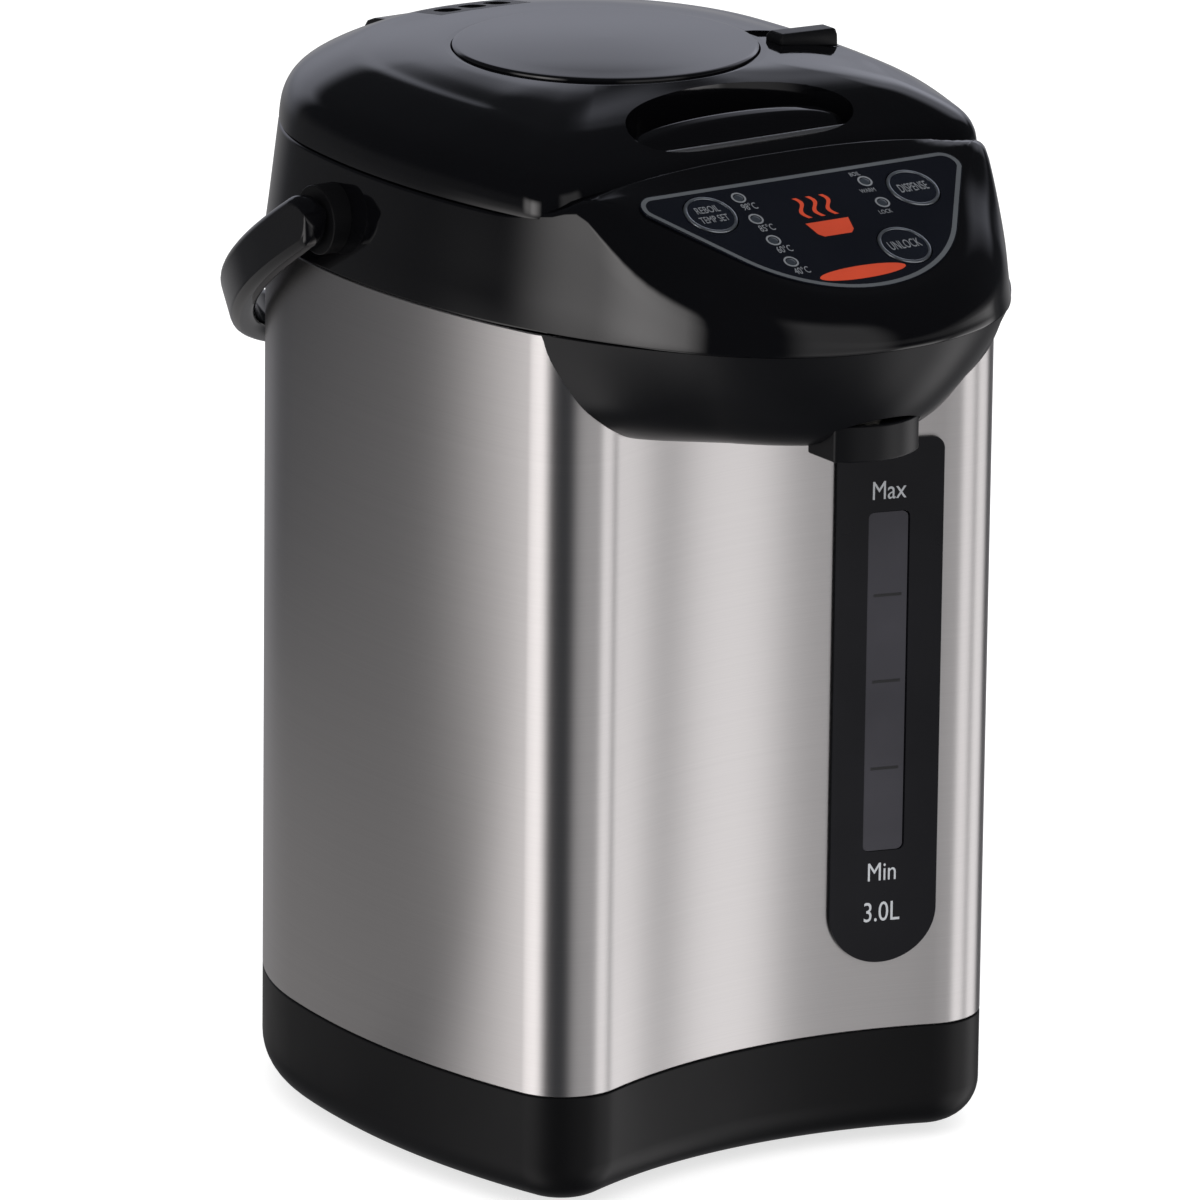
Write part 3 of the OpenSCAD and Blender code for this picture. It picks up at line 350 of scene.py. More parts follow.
def ramp(tree, value, stops):
    node = tree.nodes.new("ShaderNodeValToRGB")
    for i, (pos, color) in enumerate(stops):
        el = node.color_ramp.elements[i] if i < 2 else node.color_ramp.elements.new(pos)
        el.position = pos
        el.color = (*color, 1)
    tree.links.new(value, node.inputs["Fac"])
    return node.outputs["Color"]


def span(tree, value, low, high):
    node = tree.nodes.new("ShaderNodeMapRange")
    node.inputs["To Min"].default_value = low
    node.inputs["To Max"].default_value = high
    tree.links.new(value, node.inputs["Value"])
    return node.outputs["Result"]


def bump(tree, bsdf, value, strength, distance):
    node = tree.nodes.new("ShaderNodeBump")
    node.inputs["Strength"].default_value = strength
    node.inputs["Distance"].default_value = distance
    tree.links.new(value, node.inputs["Height"])
    tree.links.new(node.outputs["Normal"], bsdf.inputs["Normal"])


# Moulded plastic with a fine grain, slight cloudiness and handling marks in its gloss
def plastic(name, base, rough, grain, depth, spread=0.05, spec=0.5, cloudy=0.15):
    mat, tree, bsdf = shader(name, base, rough, 0.0, spec)
    v = place(tree, (1, 1, 1))
    cloud = noise(tree, v, 22, 5)
    dark, light = [c * (1 - cloudy) for c in base], [c * (1 + cloudy) for c in base]
    tree.links.new(ramp(tree, cloud, [(0.3, dark), (0.7, light)]), bsdf.inputs["Base Color"])
    marks = noise(tree, v, 55, 6)
    tree.links.new(span(tree, marks, rough - spread, rough + spread), bsdf.inputs["Roughness"])
    bump(tree, bsdf, noise(tree, v, grain, 3), 0.35, depth)
    return mat


# Steel brushed along the horizontal
def brushed(name, dark, light, rough, aniso, fine, metal=1.0):
    mat, tree, bsdf = shader(name, light, rough, metal)
    lines = noise(tree, place(tree, (5, 5, 3200)), 1.0, 5, 0.6)
    soft = noise(tree, place(tree, (4, 4, 900)), 1.0, 3, 0.5)
    share, swing = 0.15, 0.02
    mix = tree.nodes.new("ShaderNodeMath")
    mix.operation = "MULTIPLY_ADD"
    mix.inputs[1].default_value = 1 - share
    tree.links.new(lines, mix.inputs[0])
    weak = tree.nodes.new("ShaderNodeMath")
    weak.operation = "MULTIPLY"
    weak.inputs[1].default_value = share
    tree.links.new(soft, weak.inputs[0])
    tree.links.new(weak.outputs[0], mix.inputs[2])
    grain = mix.outputs[0]
    tree.links.new(ramp(tree, grain, [(0.3, dark), (0.7, light)]), bsdf.inputs["Base Color"])
    tree.links.new(span(tree, grain, rough - swing, rough + swing), bsdf.inputs["Roughness"])
    bsdf.inputs["Anisotropic"].default_value = aniso
    bsdf.inputs["Anisotropic Rotation"].default_value = 0.25
    tangent = tree.nodes.new("ShaderNodeTangent")
    tangent.direction_type = "RADIAL"
    tangent.axis = "Z"
    tree.links.new(tangent.outputs["Tangent"], bsdf.inputs["Tangent"])
    bump(tree, bsdf, lines, 0.12, fine)
    return mat


GLOSS = plastic("gloss_black", (0.0016, 0.0016, 0.002), 0.06, 900, 0.000006, 0.02)
SATIN = plastic("satin_black", (0.0028, 0.0028, 0.0032), 0.4, 2600, 0.00003, 0.05, 0.14)
SATIN_DARK = plastic("satin_dark", (0.0034, 0.0035, 0.0042), 0.33, 2400, 0.00002, 0.05, 0.2)
PANEL_BLACK = plastic("gauge_black", (0.006, 0.006, 0.0075), 0.26, 1800, 0.00001, 0.04, 0.16)
FOIL = plastic("panel_foil", (0.0018, 0.0024, 0.0048), 0.22, 1500, 0.000008, 0.04, 0.4)
KEY = plastic("key_cap", (0.0024, 0.0036, 0.0072), 0.24, 1500, 0.000008, 0.04)
RUBBER = plastic("rubber", (0.012, 0.012, 0.012), 0.75, 3000, 0.00006, 0.08)
SILICONE = plastic("silicone", (0.62, 0.6, 0.55), 0.5, 1200, 0.00003, 0.06, 0.5, 0.04)
WHITE = plastic("white_plastic", (0.72, 0.71, 0.68), 0.38, 1600, 0.00003, 0.06, 0.5, 0.03)
BOARD = plastic("board_green", (0.02, 0.11, 0.045), 0.4, 700, 0.00005, 0.08)
MOTOR = plastic("motor_grey", (0.16, 0.16, 0.17), 0.35, 1200, 0.00003, 0.06)
LINE = plastic("border_line", (0.062, 0.068, 0.075), 0.36, 900, 0.000005, 0.04)
PRINT = plastic("print_grey", (0.125, 0.132, 0.145), 0.5, 900, 0.000005, 0.04)
PRINT_WHITE = plastic("print_white", (0.36, 0.37, 0.39), 0.5, 900, 0.000005, 0.04)
PRINT_RED = plastic("print_orange", (0.41, 0.036, 0.008), 0.5, 900, 0.000005, 0.04, 0.25)
PRINT_DARK = plastic("print_dark", (0.006, 0.006, 0.007), 0.45, 900, 0.000005, 0.04)
LENS = plastic("lens_dark", (0.02, 0.024, 0.03), 0.12, 900, 0.000005, 0.03)
STEEL = brushed("brushed_steel", (0.56, 0.545, 0.54), (0.6, 0.584, 0.578), 0.34, 0.8, 0.000004)
TANK = brushed("tank_steel", (0.5, 0.5, 0.5), (0.62, 0.62, 0.62), 0.3, 0.4, 0.00001, 0.4)
METAL = brushed("turned_metal", (0.5, 0.5, 0.51), (0.66, 0.66, 0.67), 0.25, 0.3, 0.00001)
SILVER = brushed("silver_ring", (0.42, 0.45, 0.49), (0.56, 0.6, 0.64), 0.3, 0.2, 0.000004)
BRASS = brushed("brass", (0.5, 0.36, 0.13), (0.68, 0.5, 0.2), 0.28, 0.2, 0.00001)
SMOKE = plastic("smoke_window", (0.033, 0.032, 0.038), 0.16, 900, 0.000005, 0.04, 0.25)
CLEAR = plastic("clear_tube", (0.5, 0.52, 0.54), 0.15, 900, 0.000005, 0.04)


# Base
def base():
    n = 12
    quarter = [math.pi / 2 * i / n for i in range(n + 1)]
    inner_r, centre_z = BASE_ROUND - WALL, FOOT_H + BASE_ROUND
    outer = [(BASE_ROUND * (1 - math.cos(a)), centre_z - BASE_ROUND * math.sin(a)) for a in quarter]
    inner = [(BASE_ROUND - inner_r * math.cos(a), centre_z - inner_r * math.sin(a))
             for a in reversed(quarter)]
    lip = [(0.9, BASE_TOP), (0.45, BASE_TOP - 0.12), (0.12, BASE_TOP - 0.45), (0, BASE_TOP - 0.9)]
    flange = [(BASE_FLANGE, FOOT_H), (BASE_FLANGE, FOOT_H + WALL)]
    collar = [(1 + COLLAR_T, COLLAR_TOP), (1, COLLAR_TOP), (1, BASE_TOP)]
    profile = lip + outer + flange + inner + collar
    obj = loft("base", [at_z(body_points(t), z) for t, z in profile], loop=True)
    cut(obj, box("tool", INLET_LOW, INLET_HIGH))
    smooth(obj, 40)
    dress(obj, SATIN, "body", "satin_black", "base_shell")


# Upright rectangle with rounded corners, w wide and h high from its lower edge
def slot_outline(w, h, r, n=8):
    pts = []
    for cx, cz, a0 in ((w / 2 - r, h - r, 0), (r - w / 2, h - r, 90),
                       (r - w / 2, r, 180), (w / 2 - r, r, 270)):
        angles = [math.radians(a0 + 90 * i / n) for i in range(n + 1)]
        pts += [(cx + r * math.cos(a), cz + r * math.sin(a)) for a in angles]
    return pts


# Tool for the window's slot, through the jacket and the gauge's panel
def window_tool():
    pts = slot_outline(WINDOW_W, WINDOW_H, WINDOW_R)
    return loft("tool", [[(GAUGE_X + x, y, WINDOW_Z + z) for x, z in pts] for y in (-90, -125)])


def jacket():
    low, high, edge = BASE_TOP + 0.05, JACKET_TOP - 0.15, 0.25
    profile = [(edge, low), (0, low + edge), (0, high - edge), (edge, high),
               (JACKET_T, high), (JACKET_T, low)]
    obj = loft("jacket", [at_z(body_points(t), z) for t, z in profile], loop=True)
    cut(obj, window_tool())
    smooth(obj, 30)
    dress(obj, STEEL, "body", "steel", "outer_jacket")


HEAD_0, HEAD_1 = np.array(head_points(0.0)), np.array(head_points(1.0))


# Smooth step from 0 at a to 1 at b
def ease(x, a, b):
    t = np.clip((x - a) / (b - a), 0, 1)
    return t * t * (3 - 2 * t)


# Nearest spots on a closed line, and how far they are
def nearest(points, line):
    d = np.roll(line, -1, 0) - line
    w = points[:, None, :] - line[None]
    t = np.clip((w * d).sum(2) / (d * d).sum(1), 0, 1)
    spots = line[None] + t[..., None] * d[None]
    gaps = np.linalg.norm(points[:, None, :] - spots, axis=2)
    k = gaps.argmin(1)
    return spots[np.arange(len(points)), k], gaps.min(1)


# Height of the panel with its bead, the visor's arch and the lid's seat over spots in plan
def top_height(points):
    melt, arch_half, arch_drop, arch_power = 2.0, 90, 0.92, 2.6
    x, y = np.abs(points[:, 0]), points[:, 1]
    panel = PANEL_Z + (y + PANEL_Y) * math.tan(SLOPE) + BEAD * ease(y, -115.5, -110.5)
    back = np.maximum(VISOR_TOP - (y + VISOR_BACK) * (VISOR_TOP - SEAM_Z) / HORN_L, SEAM_Z)
    h = np.clip(0.5 + 0.5 * (back - panel) / melt, 0, 1)
    over = back + (panel - back) * h - melt * h * (1 - h) - SEAM_Z
    arch = 1 - arch_drop * np.minimum(x / arch_half, 1) ** arch_power * ease(y, -118, -108)
    return SEAM_Z + np.where(over > 0, over * arch, over)


# Radius of the housing's upper edge: larger round the nose, most at its flanks, never past the lid's seat
def edge_radius(room):
    least, nose, flank, room_share, passes = 1.0, 7.5, 6.0, 0.55, 4
    more = (nose + flank * ease(np.abs(HEAD_0[:, 0]), 25, 65)) * ease(-HEAD_0[:, 1], 92, 130)
    r = np.minimum(least + more, np.maximum(least, room_share * room))
    for _ in range(passes):
        r = (np.roll(r, 1) + 2 * r + np.roll(r, -1)) / 4
    return r


# Shoulder, nose and visor in one skin: up the wall, over a rounded edge, along the panel, down to
# the lid's seat, round its mouth and back inside
def housing_rings():
    inward = HEAD_1 - HEAD_0

    def at(inset):
        return HEAD_0 + np.reshape(inset, (-1, 1)) * inward

    def ring(points, z):
        return [(x, y, h) for (x, y), h in zip(points, np.broadcast_to(z, len(points)))]

    low, foot, lean = JACKET_TOP, 0.8, DRAFT / SHOULDER_H
    wall_steps, edge_steps, panel_steps, turn_steps, least_reach = 4, 9, 8, 6, 1.2
    seat_line = np.array(lid_points(DRAFT - 0.6))
    r = edge_radius(nearest(at(np.full(len(inward), DRAFT)), seat_line)[1])
    rings = [at_z(head_points(0.5), low), at_z(head_points(0.1), low + 0.25), at_z(head_points(0), low + foot)]
    for k in range(1 - wall_steps, edge_steps + 1):
        a = math.pi / 2 * max(k, 0) / edge_steps
        inset = r * (1 - math.cos(a))
        z = top_height(at(inset + DRAFT)) - r * (1 - math.sin(a))
        if k < 0:
            z = low + foot + (z - low - foot) * (k + wall_steps) / wall_steps
        rings.append(ring(at(inset + lean * (z - low)), z))
    start = at(DRAFT + r)
    spot, gap = nearest(start, seat_line)
    clear = (gap > least_reach) & (((spot - start) * inward).sum(1) > 0)
    way = np.where(clear[:, None], (spot - start) / np.maximum(gap, 1e-6)[:, None], inward)
    reach = np.where(clear, gap, least_reach)
    stop = start + way * reach[:, None]
    turn = np.minimum(VISOR_R * ease(-stop[:, 1], 86, 104), 0.8 * reach)
    for k in range(1, panel_steps + 1):
        points = stop - way * (reach - (reach - turn) * k / panel_steps)[:, None]
        rings.append(ring(points, top_height(points)))
    for k in range(1, turn_steps + 1):
        a = math.pi / 2 * (1 - k / turn_steps)
        points = stop - way * (turn * (1 - math.cos(a)))[:, None]
        z = top_height(points) - turn * (1 - math.sin(a))
        rings.append(ring(points, np.maximum(z, SEAM_Z + 0.01)))
    mouth = MOUTH_R * stop / np.linalg.norm(stop, axis=1)[:, None]
    share = ease(reach, 3, 9)
    under = stop - way * (WALL * share)[:, None]
    inside = at(DRAFT + r + 1.3 + 1.2 * share)
    ceiling = SEAM_Z - WALL
    rings += [ring(stop, SEAM_Z), ring(mouth, SEAM_Z), ring(mouth, ceiling), ring(under, ceiling),
              ring(under, ceiling + share * (top_height(under) - turn - SEAM_Z)),
              ring(inside, ceiling - 0.2 + share * (top_height(inside) - SEAM_Z - 1)),
              ring(at(np.full(len(inward), WALL)), low)]
    return rings


def housing():
    obj = loft("housing", housing_rings(), loop=True)
    clean(obj)
    cut(obj, box("tool", (-NOTCH_W, 91, 317), (NOTCH_W, BEHIND, ABOVE)))
    for x, v in BUTTONS.values():
        cut(obj, on_panel(rod("tool", BUTTON_R + BUTTON_GAP, (x, -v, -8), (x, -v, 8))))
    smooth(obj, 30)
    dress(obj, GLOSS, "body", "gloss_black", "upper_housing")
    r0, r1, z0, z1 = SHELF
    shelf = lathe("tank_shelf", [(r0, z0), (r1, z0), (r1, z1), (r0, z1)], loop=True)
    smooth(shelf)
    dress(shelf, SATIN_DARK, "body", "gloss_black")
    for s, side in ((-1, "left"), (1, "right")):
        def pivot(x):
            return s * x, -PIVOT_Y, PIVOT_Z

        def hinge(x):
            return s * x, HINGE_Y, HINGE_Z

        boss = rod("pivot_boss_" + side, BOSS_R, pivot(94.2), pivot(104.2), 64)
        cut(boss, rod("tool", PIVOT_PIN_R, pivot(92), pivot(110)))
        bevel(boss, 0.4)
        smooth(boss)
        dress(boss, SATIN, "body", "gloss_black")
        ear = rod("hinge_ear_" + side, BARREL_R, hinge(EAR_X[0]), hinge(EAR_X[1]))
        x0, x1 = sorted(s * x for x in EAR_X)
        combine(ear, box("tool", (x0, 91, 308), (x1, HINGE_Y, HINGE_Z)), "UNION")
        cut(ear, rod("tool", HINGE_PIN_R, hinge(8), hinge(20)))
        bevel(ear, 0.6)
        smooth(ear)
        dress(ear, GLOSS, "body", "gloss_black")


# Cover under the nose: a bowl that draws in faster at the flanks than at the front and the corners
CHIN_DEPTH = (0, 8, 16, 23, 29, 33.5, 36, 37)
CHIN_FRONT = (0.4, 2.5, 5.5, 9.3, 14.1, 21, 29, 36)
CHIN_FLANK = (0.4, 4.2, 8.8, 13.9, 18.8, 25, 32, 38)
CHIN_CORNER = (-1.5, -0.8, 1.2, 4.3, 9.8, 17, 23.5, 28)
CHIN_BACK, CHIN_TAIL = 104.5, 3.0


def chin_solid(name, t, low, high):
    angle = np.degrees(np.arctan2(np.abs(HEAD_0[:, 0]), NOSE_C.y - HEAD_0[:, 1]))
    flank, corner = ease(angle, 0, 45), ease(angle, 48, 80)
    steps = list(zip(CHIN_DEPTH, CHIN_FRONT, CHIN_FLANK, CHIN_CORNER))
    rings = []
    for d, f, k, c in reversed(spline(steps, 4)):
        inset = f + (k - f) * flank
        inset = inset + (c - inset) * corner + t
        z = high - (high - low) * d / CHIN_DEPTH[-1]
        rings.append([(x, y, z) for x, y in HEAD_0 + inset[:, None] * (HEAD_1 - HEAD_0)])
    return loft(name, rings)


def chin():
    obj = chin_solid("chin", 0, CHIN_Z, JACKET_TOP)
    cut(obj, prism("tool", body_points(-0.4), 200, 300))
    cut(obj, box("tool", (-200, -CHIN_BACK, 200), (200, 200, 300)))
    cut(obj, chin_solid("tool", WALL, CHIN_Z + WALL, JACKET_TOP + CHIN_TAIL))
    cut(obj, prism("tool", spout_outline(0.2), HOLE_LOW, HOLE_HIGH))
    smooth(obj, 30)
    dress(obj, SATIN_DARK, "body", "satin_black", "spout_housing")


# Spout's outline, g wider all round: bowed in front, square behind
def spout_outline(g):
    w, d, r = SPOUT_HALF + g, SPOUT_BACK + g, SPOUT_BOW + g
    n = 16
    a = math.asin(w / r)
    c = -NOZZLE_Y + SPOUT_BOW - SPOUT_FRONT
    angles = [-a + 2 * a * i / n for i in range(n + 1)]
    front = [(r * math.sin(b), c - r * math.cos(b)) for b in angles]
    return front + [(w, -NOZZLE_Y + d), (-w, -NOZZLE_Y + d)]


def nozzle():
    obj = prism("nozzle", spout_outline(0), NOZZLE_LOW, NOZZLE_HIGH)
    bevel(obj, 0.7, 3, 40)
    cut(obj, rod("tool", BORE_R, (0, -SPOUT_Y, HOLE_LOW), (0, -SPOUT_Y, HOLE_HIGH)))
    smooth(obj, 35)
    dress(obj, SATIN_DARK, "body", "satin_black", "spout_nozzle")


# Control panel. The foil's outline: two small rounds at the top and a large one below
def foil_outline(inset):
    rc, rn = 6.0, 50.0
    corner, nose = Vector((54, -rc)), Vector((0, -rc))
    d = nose - corner
    turn = angle_of(d) + math.acos((rc - rn) / d.length)
    a = math.atan2(math.sin(turn), math.cos(turn))
    half = ([(0, -inset)] + arc(corner, rc - inset, math.pi / 2, a, 12)
            + arc(nose, rn - inset, a, -math.pi / 2, 40) + [(0, -rc - rn + inset)])
    return whole(half)


def ring_strip(name, outer, inner, z0, z1):
    return loft(name, [at_z(outer, z0), at_z(outer, z1), at_z(inner, z1), at_z(inner, z0)], loop=True)


# Raised lettering at (x, y), h high, narrowed across
def words(text, size, x, y, h, narrow=1.0):
    curve = bpy.data.curves.new("words", "FONT")
    curve.body = text
    curve.size = size / 1000
    curve.align_x = "CENTER"
    curve.align_y = "CENTER"
    curve.extrude = 0.00005
    curve.resolution_u = 4
    src = bpy.data.objects.new("words_text", curve)
    bpy.context.scene.collection.objects.link(src)
    bpy.context.view_layer.update()
    graph = bpy.context.evaluated_depsgraph_get()
    mesh = bpy.data.meshes.new_from_object(src.evaluated_get(graph))
    bpy.data.objects.remove(src)
    bpy.data.curves.remove(curve)
    at = Matrix.Translation((x / 1000, y / 1000, h / 1000))
    mesh.transform(at @ Matrix.Diagonal((narrow, 1, 1, 1)))
    obj = bpy.data.objects.new("words", mesh)
    bpy.context.scene.collection.objects.link(obj)
    return obj


# One piece from several meshes
def join(name, objs):
    bm = bmesh.new()
    for obj in objs:
        bm.from_mesh(obj.data)
    mesh = bpy.data.meshes.new(name)
    bm.to_mesh(mesh)
    bm.free()
    for obj in objs:
        old = obj.data
        bpy.data.objects.remove(obj)
        bpy.data.meshes.remove(old)
    out = bpy.data.objects.new(name, mesh)
    bpy.context.scene.collection.objects.link(out)
    return out


def panel():
    foil = prism("foil", foil_outline(0.1), 0.02, FOIL_T)
    for spots, r, n in ((BUTTONS.values(), BUTTON_R + BUTTON_GAP, 64), (LENSES, LENS_R + 0.2, 32)):
        for x, v in spots:
            cut(foil, rod("tool", r, (x, -v, -2), (x, -v, 4), n))
    bevel(foil, 0.2, 2, 40)
    smooth(foil)
    dress(on_panel(foil), FOIL, "body", "overlay", "panel_overlay")
    line = ring_strip("foil_border", foil_outline(0.5), foil_outline(2.0), PRINT_LOW, PRINT_HIGH)
    smooth(line)
    dress(on_panel(line), LINE, "body", "overlay")
    rings = [ring_strip("ring", circle((x, -v), 2.45, 48), circle((x, -v), 1.85, 48), PRINT_LOW, PRINT_HIGH)
             for x, v in LENSES]
    dress(on_panel(join("lamp_rings", rings)), PRINT, "body", "overlay")
    drop = [(LENS_R, -2.5), (LENS_R, 0.72), (1.2, 0.86), (0.5, 0.93), (0, 0.94)]
    dome = join("lamp_lenses", [lathe("lens", drop, (x, -v, 0), 32) for x, v in LENSES])
    smooth(dome)
    dress(on_panel(dome), LENS, "body", "lens", "indicator_lenses")
    texts = [words(t, 4.3, x + 1.2, -v - 4.8, TEXT_H, 0.62)
             for t, (x, v) in zip(("98°C", "85°C", "60°C", "40°C"), LENSES)]
    texts += [words(t, 2.6, 20.6, y, TEXT_H, 0.7)
              for t, y in (("BOIL", -4.4), ("WARM", -12.6), ("LOCK", -23.2))]
    dress(on_panel(join("lamp_numbers", texts)), PRINT, "body", "overlay")
    strokes, half = [], 0.75
    for i in (-1, 0, 1):
        mid = [(-1.5 + 5 * i + 1.3 * math.sin(k * 0.5), -11 - 0.75 * k) for k in range(14)]
        wave = [(x - half, y) for x, y in mid] + [(x + half, y) for x, y in reversed(mid)]
        strokes.append(prism("stroke", wave, PRINT_LOW, PRINT_HIGH))
    cup = [(-9.5, -23), (6.5, -23), (5.2, -28.5), (3.6, -30), (-6.6, -30), (-8.2, -28.5)]
    strokes.append(prism("stroke", cup, PRINT_LOW, PRINT_HIGH))
    dress(on_panel(join("steam_sign", strokes)), PRINT_RED, "body", "overlay")
    oval = [(-3.6 + 16 * x, -48.1 + 2.9 * y) for x, y in circle((0, 0), 1, 72)]
    dress(on_panel(prism("oval_mark", oval, PRINT_LOW, PRINT_HIGH)), PRINT_RED, "body", "overlay")


# Buttons: profiles of the cap and of the bright rim round it, and labels of (text, size, shift, narrowing)
CAP = [(3, -5.6), (3, -3.9), (10, -3.9), (10, -2.9), (8.6, -2.9), (8.6, 0.5), (8.45, 0.85), (8.1, 0.93),
       (7.5, 0.95), (7.0, 0.95), (5, 0.98), (2.5, 1.0), (0, 1.01)]
RIM = [(7.5, 0.85), (7.52, 1.02), (7.7, 1.15), (8.05, 1.18), (8.4, 1.12), (8.58, 0.96), (8.64, 0.75),
       (8.64, 0.45), (8.3, 0.45)]
LABELS = {"dispense": [("DISPENSE", 5.6, 0, 0.46)], "unlock": [("UNLOCK", 5.6, 0, 0.5)],
          "reboil": [("REBOIL", 4.4, 2.2, 0.62), ("TEMP SET", 4.4, -2.4, 0.56)]}
LABEL_H = 1.03


def buttons():
    for name, (x, v) in BUTTONS.items():
        cap = lathe(name + "_cap", CAP, (x, -v, 0), 96)
        smooth(cap)
        dress(on_panel(cap), KEY, name, "button", name + "_button")
        rim = lathe(name + "_rim", RIM, (x, -v, 0), 96, loop=True)
        smooth(rim, 50)
        dress(on_panel(rim), SILVER, name, "button")
        texts = [words(t, size, x, shift - v, LABEL_H, narrow) for t, size, shift, narrow in LABELS[name]]
        dress(on_panel(join(name + "_label", texts)), PRINT, name, "button")


# Lid: steps inward from its rim of (way, height in front, how much more at the sides and the back)
LID_STEPS = [(0, 0, 0), (1.1, 6.65, 0.7), (4.3, 11.2, 1.9), (10.6, 14.9, 2.6), (21.3, 19.7, 2.6),
             (28.7, 22.1, 1.7), (36.3, 24.1, 1.1), (44.0, 25.7, 0.5), (49.0, 26.6, 0)]


def lid_height(x, y, height, more):
    bearing = math.degrees(math.atan2(y + PLATE_Y, abs(x)))
    return LID_Z + height + more * float(ease(bearing, -50, -28))


def lid_solid(name):
    rings = [at_z(lid_ring(0.5, 0), LID_Z), at_z(lid_ring(0.1, 0), LID_Z + 0.25)]
    for s, height, more in spline(LID_STEPS, 6):
        if height > 0.5:
            rings.append([(x, y, lid_height(x, y, height, more)) for x, y in lid_ring(0, s)])
    return loft(name, rings)


# Finger recess: a rounded half moon between two curves across the lid
RECESS_W, RECESS_Y, RECESS_BACK, RECESS_FRONT, RECESS_FLOOR = 41.5, -91.0, 20.0, 10.0, 329.0


def recess_back(x):
    return RECESS_Y + RECESS_BACK * max(0.0, 1 - (abs(x) / RECESS_W) ** 2.3) ** 0.55


def recess_front(x):
    return RECESS_Y - RECESS_FRONT * max(0.0, 1 - (abs(x) / RECESS_W) ** 5) ** 0.5


def recess_outline():
    n = 48
    xs = [RECESS_W * math.cos(math.pi * i / n) for i in range(n)]
    return [(x, recess_back(x)) for x in xs] + [(-x, recess_front(x)) for x in xs]


def lid():
    obj = lid_solid("lid")
    cut(obj, rod("tool", WELL_R, (0, -PLATE_Y, 310), (0, -PLATE_Y, ABOVE), 128))
    cut(obj, prism("tool", recess_outline(), RECESS_FLOOR, ABOVE))
    (x0, x1), (z0, z1) = BED_X, BED_Z
    cut(obj, across("tool", [(x0, z0), (x1, z1), (x1, ABOVE), (x0, ABOVE)], *BED_Y))
    bevel(obj, 0.9, 3, 34)
    combine(obj, lock_bed(), "UNION")
    cut(obj, box("tool", (57.1, -42.4, 310), (62.9, -22.4, ABOVE)))
    wide = VENT_W + VENT_GAP
    cut(obj, box("tool", (-wide, VENT_Y[0] - VENT_GAP, 331.5), (wide, VENT_Y[1] + VENT_GAP, ABOVE)))
    for s in (-1, 1):
        x0, x1 = sorted((s * LUG_W, s * NOTCH_W))
        cut(obj, box("tool", (x0, 90.6, UNDER_LID), (x1, BEHIND, 328.4)))
    cut(obj, prism("tool", lid_points(DRAFT + 3.2), UNDER_LID, 323.2))
    smooth(obj, 32)
    dress(obj, GLOSS, "lid", "gloss_black", "lid_shell")


# Sunk bed on which the lock slides, falling to the right
def lock_bed():
    gap, low = 0.2, 333
    x0, x1 = BED_X[0] + gap, BED_X[1] - gap
    outline = [(x0, low), (x1, low), (x1, BED_Z[1]), (x0, BED_Z[0])]
    bed = across("tool", outline, BED_Y[0] + gap, BED_Y[1] - gap)
    bevel(bed, 0.4, 2)
    return bed


# Lid's lug between the hinge's ears and the wider cap on it, as outlines in y and z
LUG = [(83, 323.2), (83, 336.4), (90, 335.8), (96, 334.9), (100, 333.2), (101.7, 330.4), (101.9, 322.6),
       (100.4, 319.4), (97, 318.2), (94.5, 319.3), (92.5, 321.5), (91, 323.2)]
LUG_CAP = [(83, 329), (83, 336.4), (90, 336.2), (96, 335.3), (100, 333.7), (102, 331.2), (102, 329)]


def hinge_lug():
    obj = sideways("hinge_lug", LUG, LUG_W)
    combine(obj, sideways("tool", LUG_CAP, CAP_W), "UNION")
    cut(obj, rod("tool", HINGE_PIN_R + 0.05, (-20, HINGE_Y, HINGE_Z), (20, HINGE_Y, HINGE_Z)))
    bevel(obj, 0.7, 3, 40)
    smooth(obj)
    dress(obj, GLOSS, "lid", "gloss_black")


# Steam vent: a slotted insert that follows the lid's crown, over a dark floor
def vent():
    y0, y1 = VENT_Y
    slot_w, slot_l, slot_r, pitch = 7, 10, 3, 9.5
    obj = lid_solid("vent")
    combine(obj, box("tool", (-VENT_W, y0, 334), (VENT_W, y1, ABOVE)), "INTERSECT")
    for i in (-1, 0, 1):
        pts = [(i * pitch + x, (y0 + y1 - slot_l) / 2 + y) for x, y in slot_outline(slot_w, slot_l, slot_r)]
        cut(obj, prism("tool", pts, UNDER_LID, ABOVE))
    bevel(obj, 0.4, 2, 40)
    smooth(obj)
    dress(obj, SATIN_DARK, "lid", "satin_black", "steam_vent")
    floor_outline = [(VENT_W, y0), (VENT_W, y1), (-VENT_W, y1), (-VENT_W, y0)]
    dress(prism("vent_floor", floor_outline, 331.6, 332.4), SATIN_DARK, "lid", "satin_black")


# Pump plate, slightly domed
def plate():
    r, low, top, sag, n = PLATE_R, 344.9, 350.1, 1.9, 8
    edge = [(0, low), (r - 0.6, low), (r - 0.1, low + 0.4), (r, 347.0), (r - 0.15, 347.7), (r - 0.6, 348.0),
            (r - 1.4, 348.15)]
    dome = [(k * (r - 3) / n, top - sag * (k / n) ** 2) for k in range(n, -1, -1)]
    obj = lathe("plate", edge + dome, (0, -PLATE_Y, 0), 160)
    smooth(obj, 40)
    dress(obj, GLOSS, "plate", "gloss_black", "pump_plate")


# Pleated bellows and coil spring between the cup's floor and the plate
CUP_FLOOR, UNDER_PLATE, PLATE_TRAVEL = 303.8, 344.6, 18.0


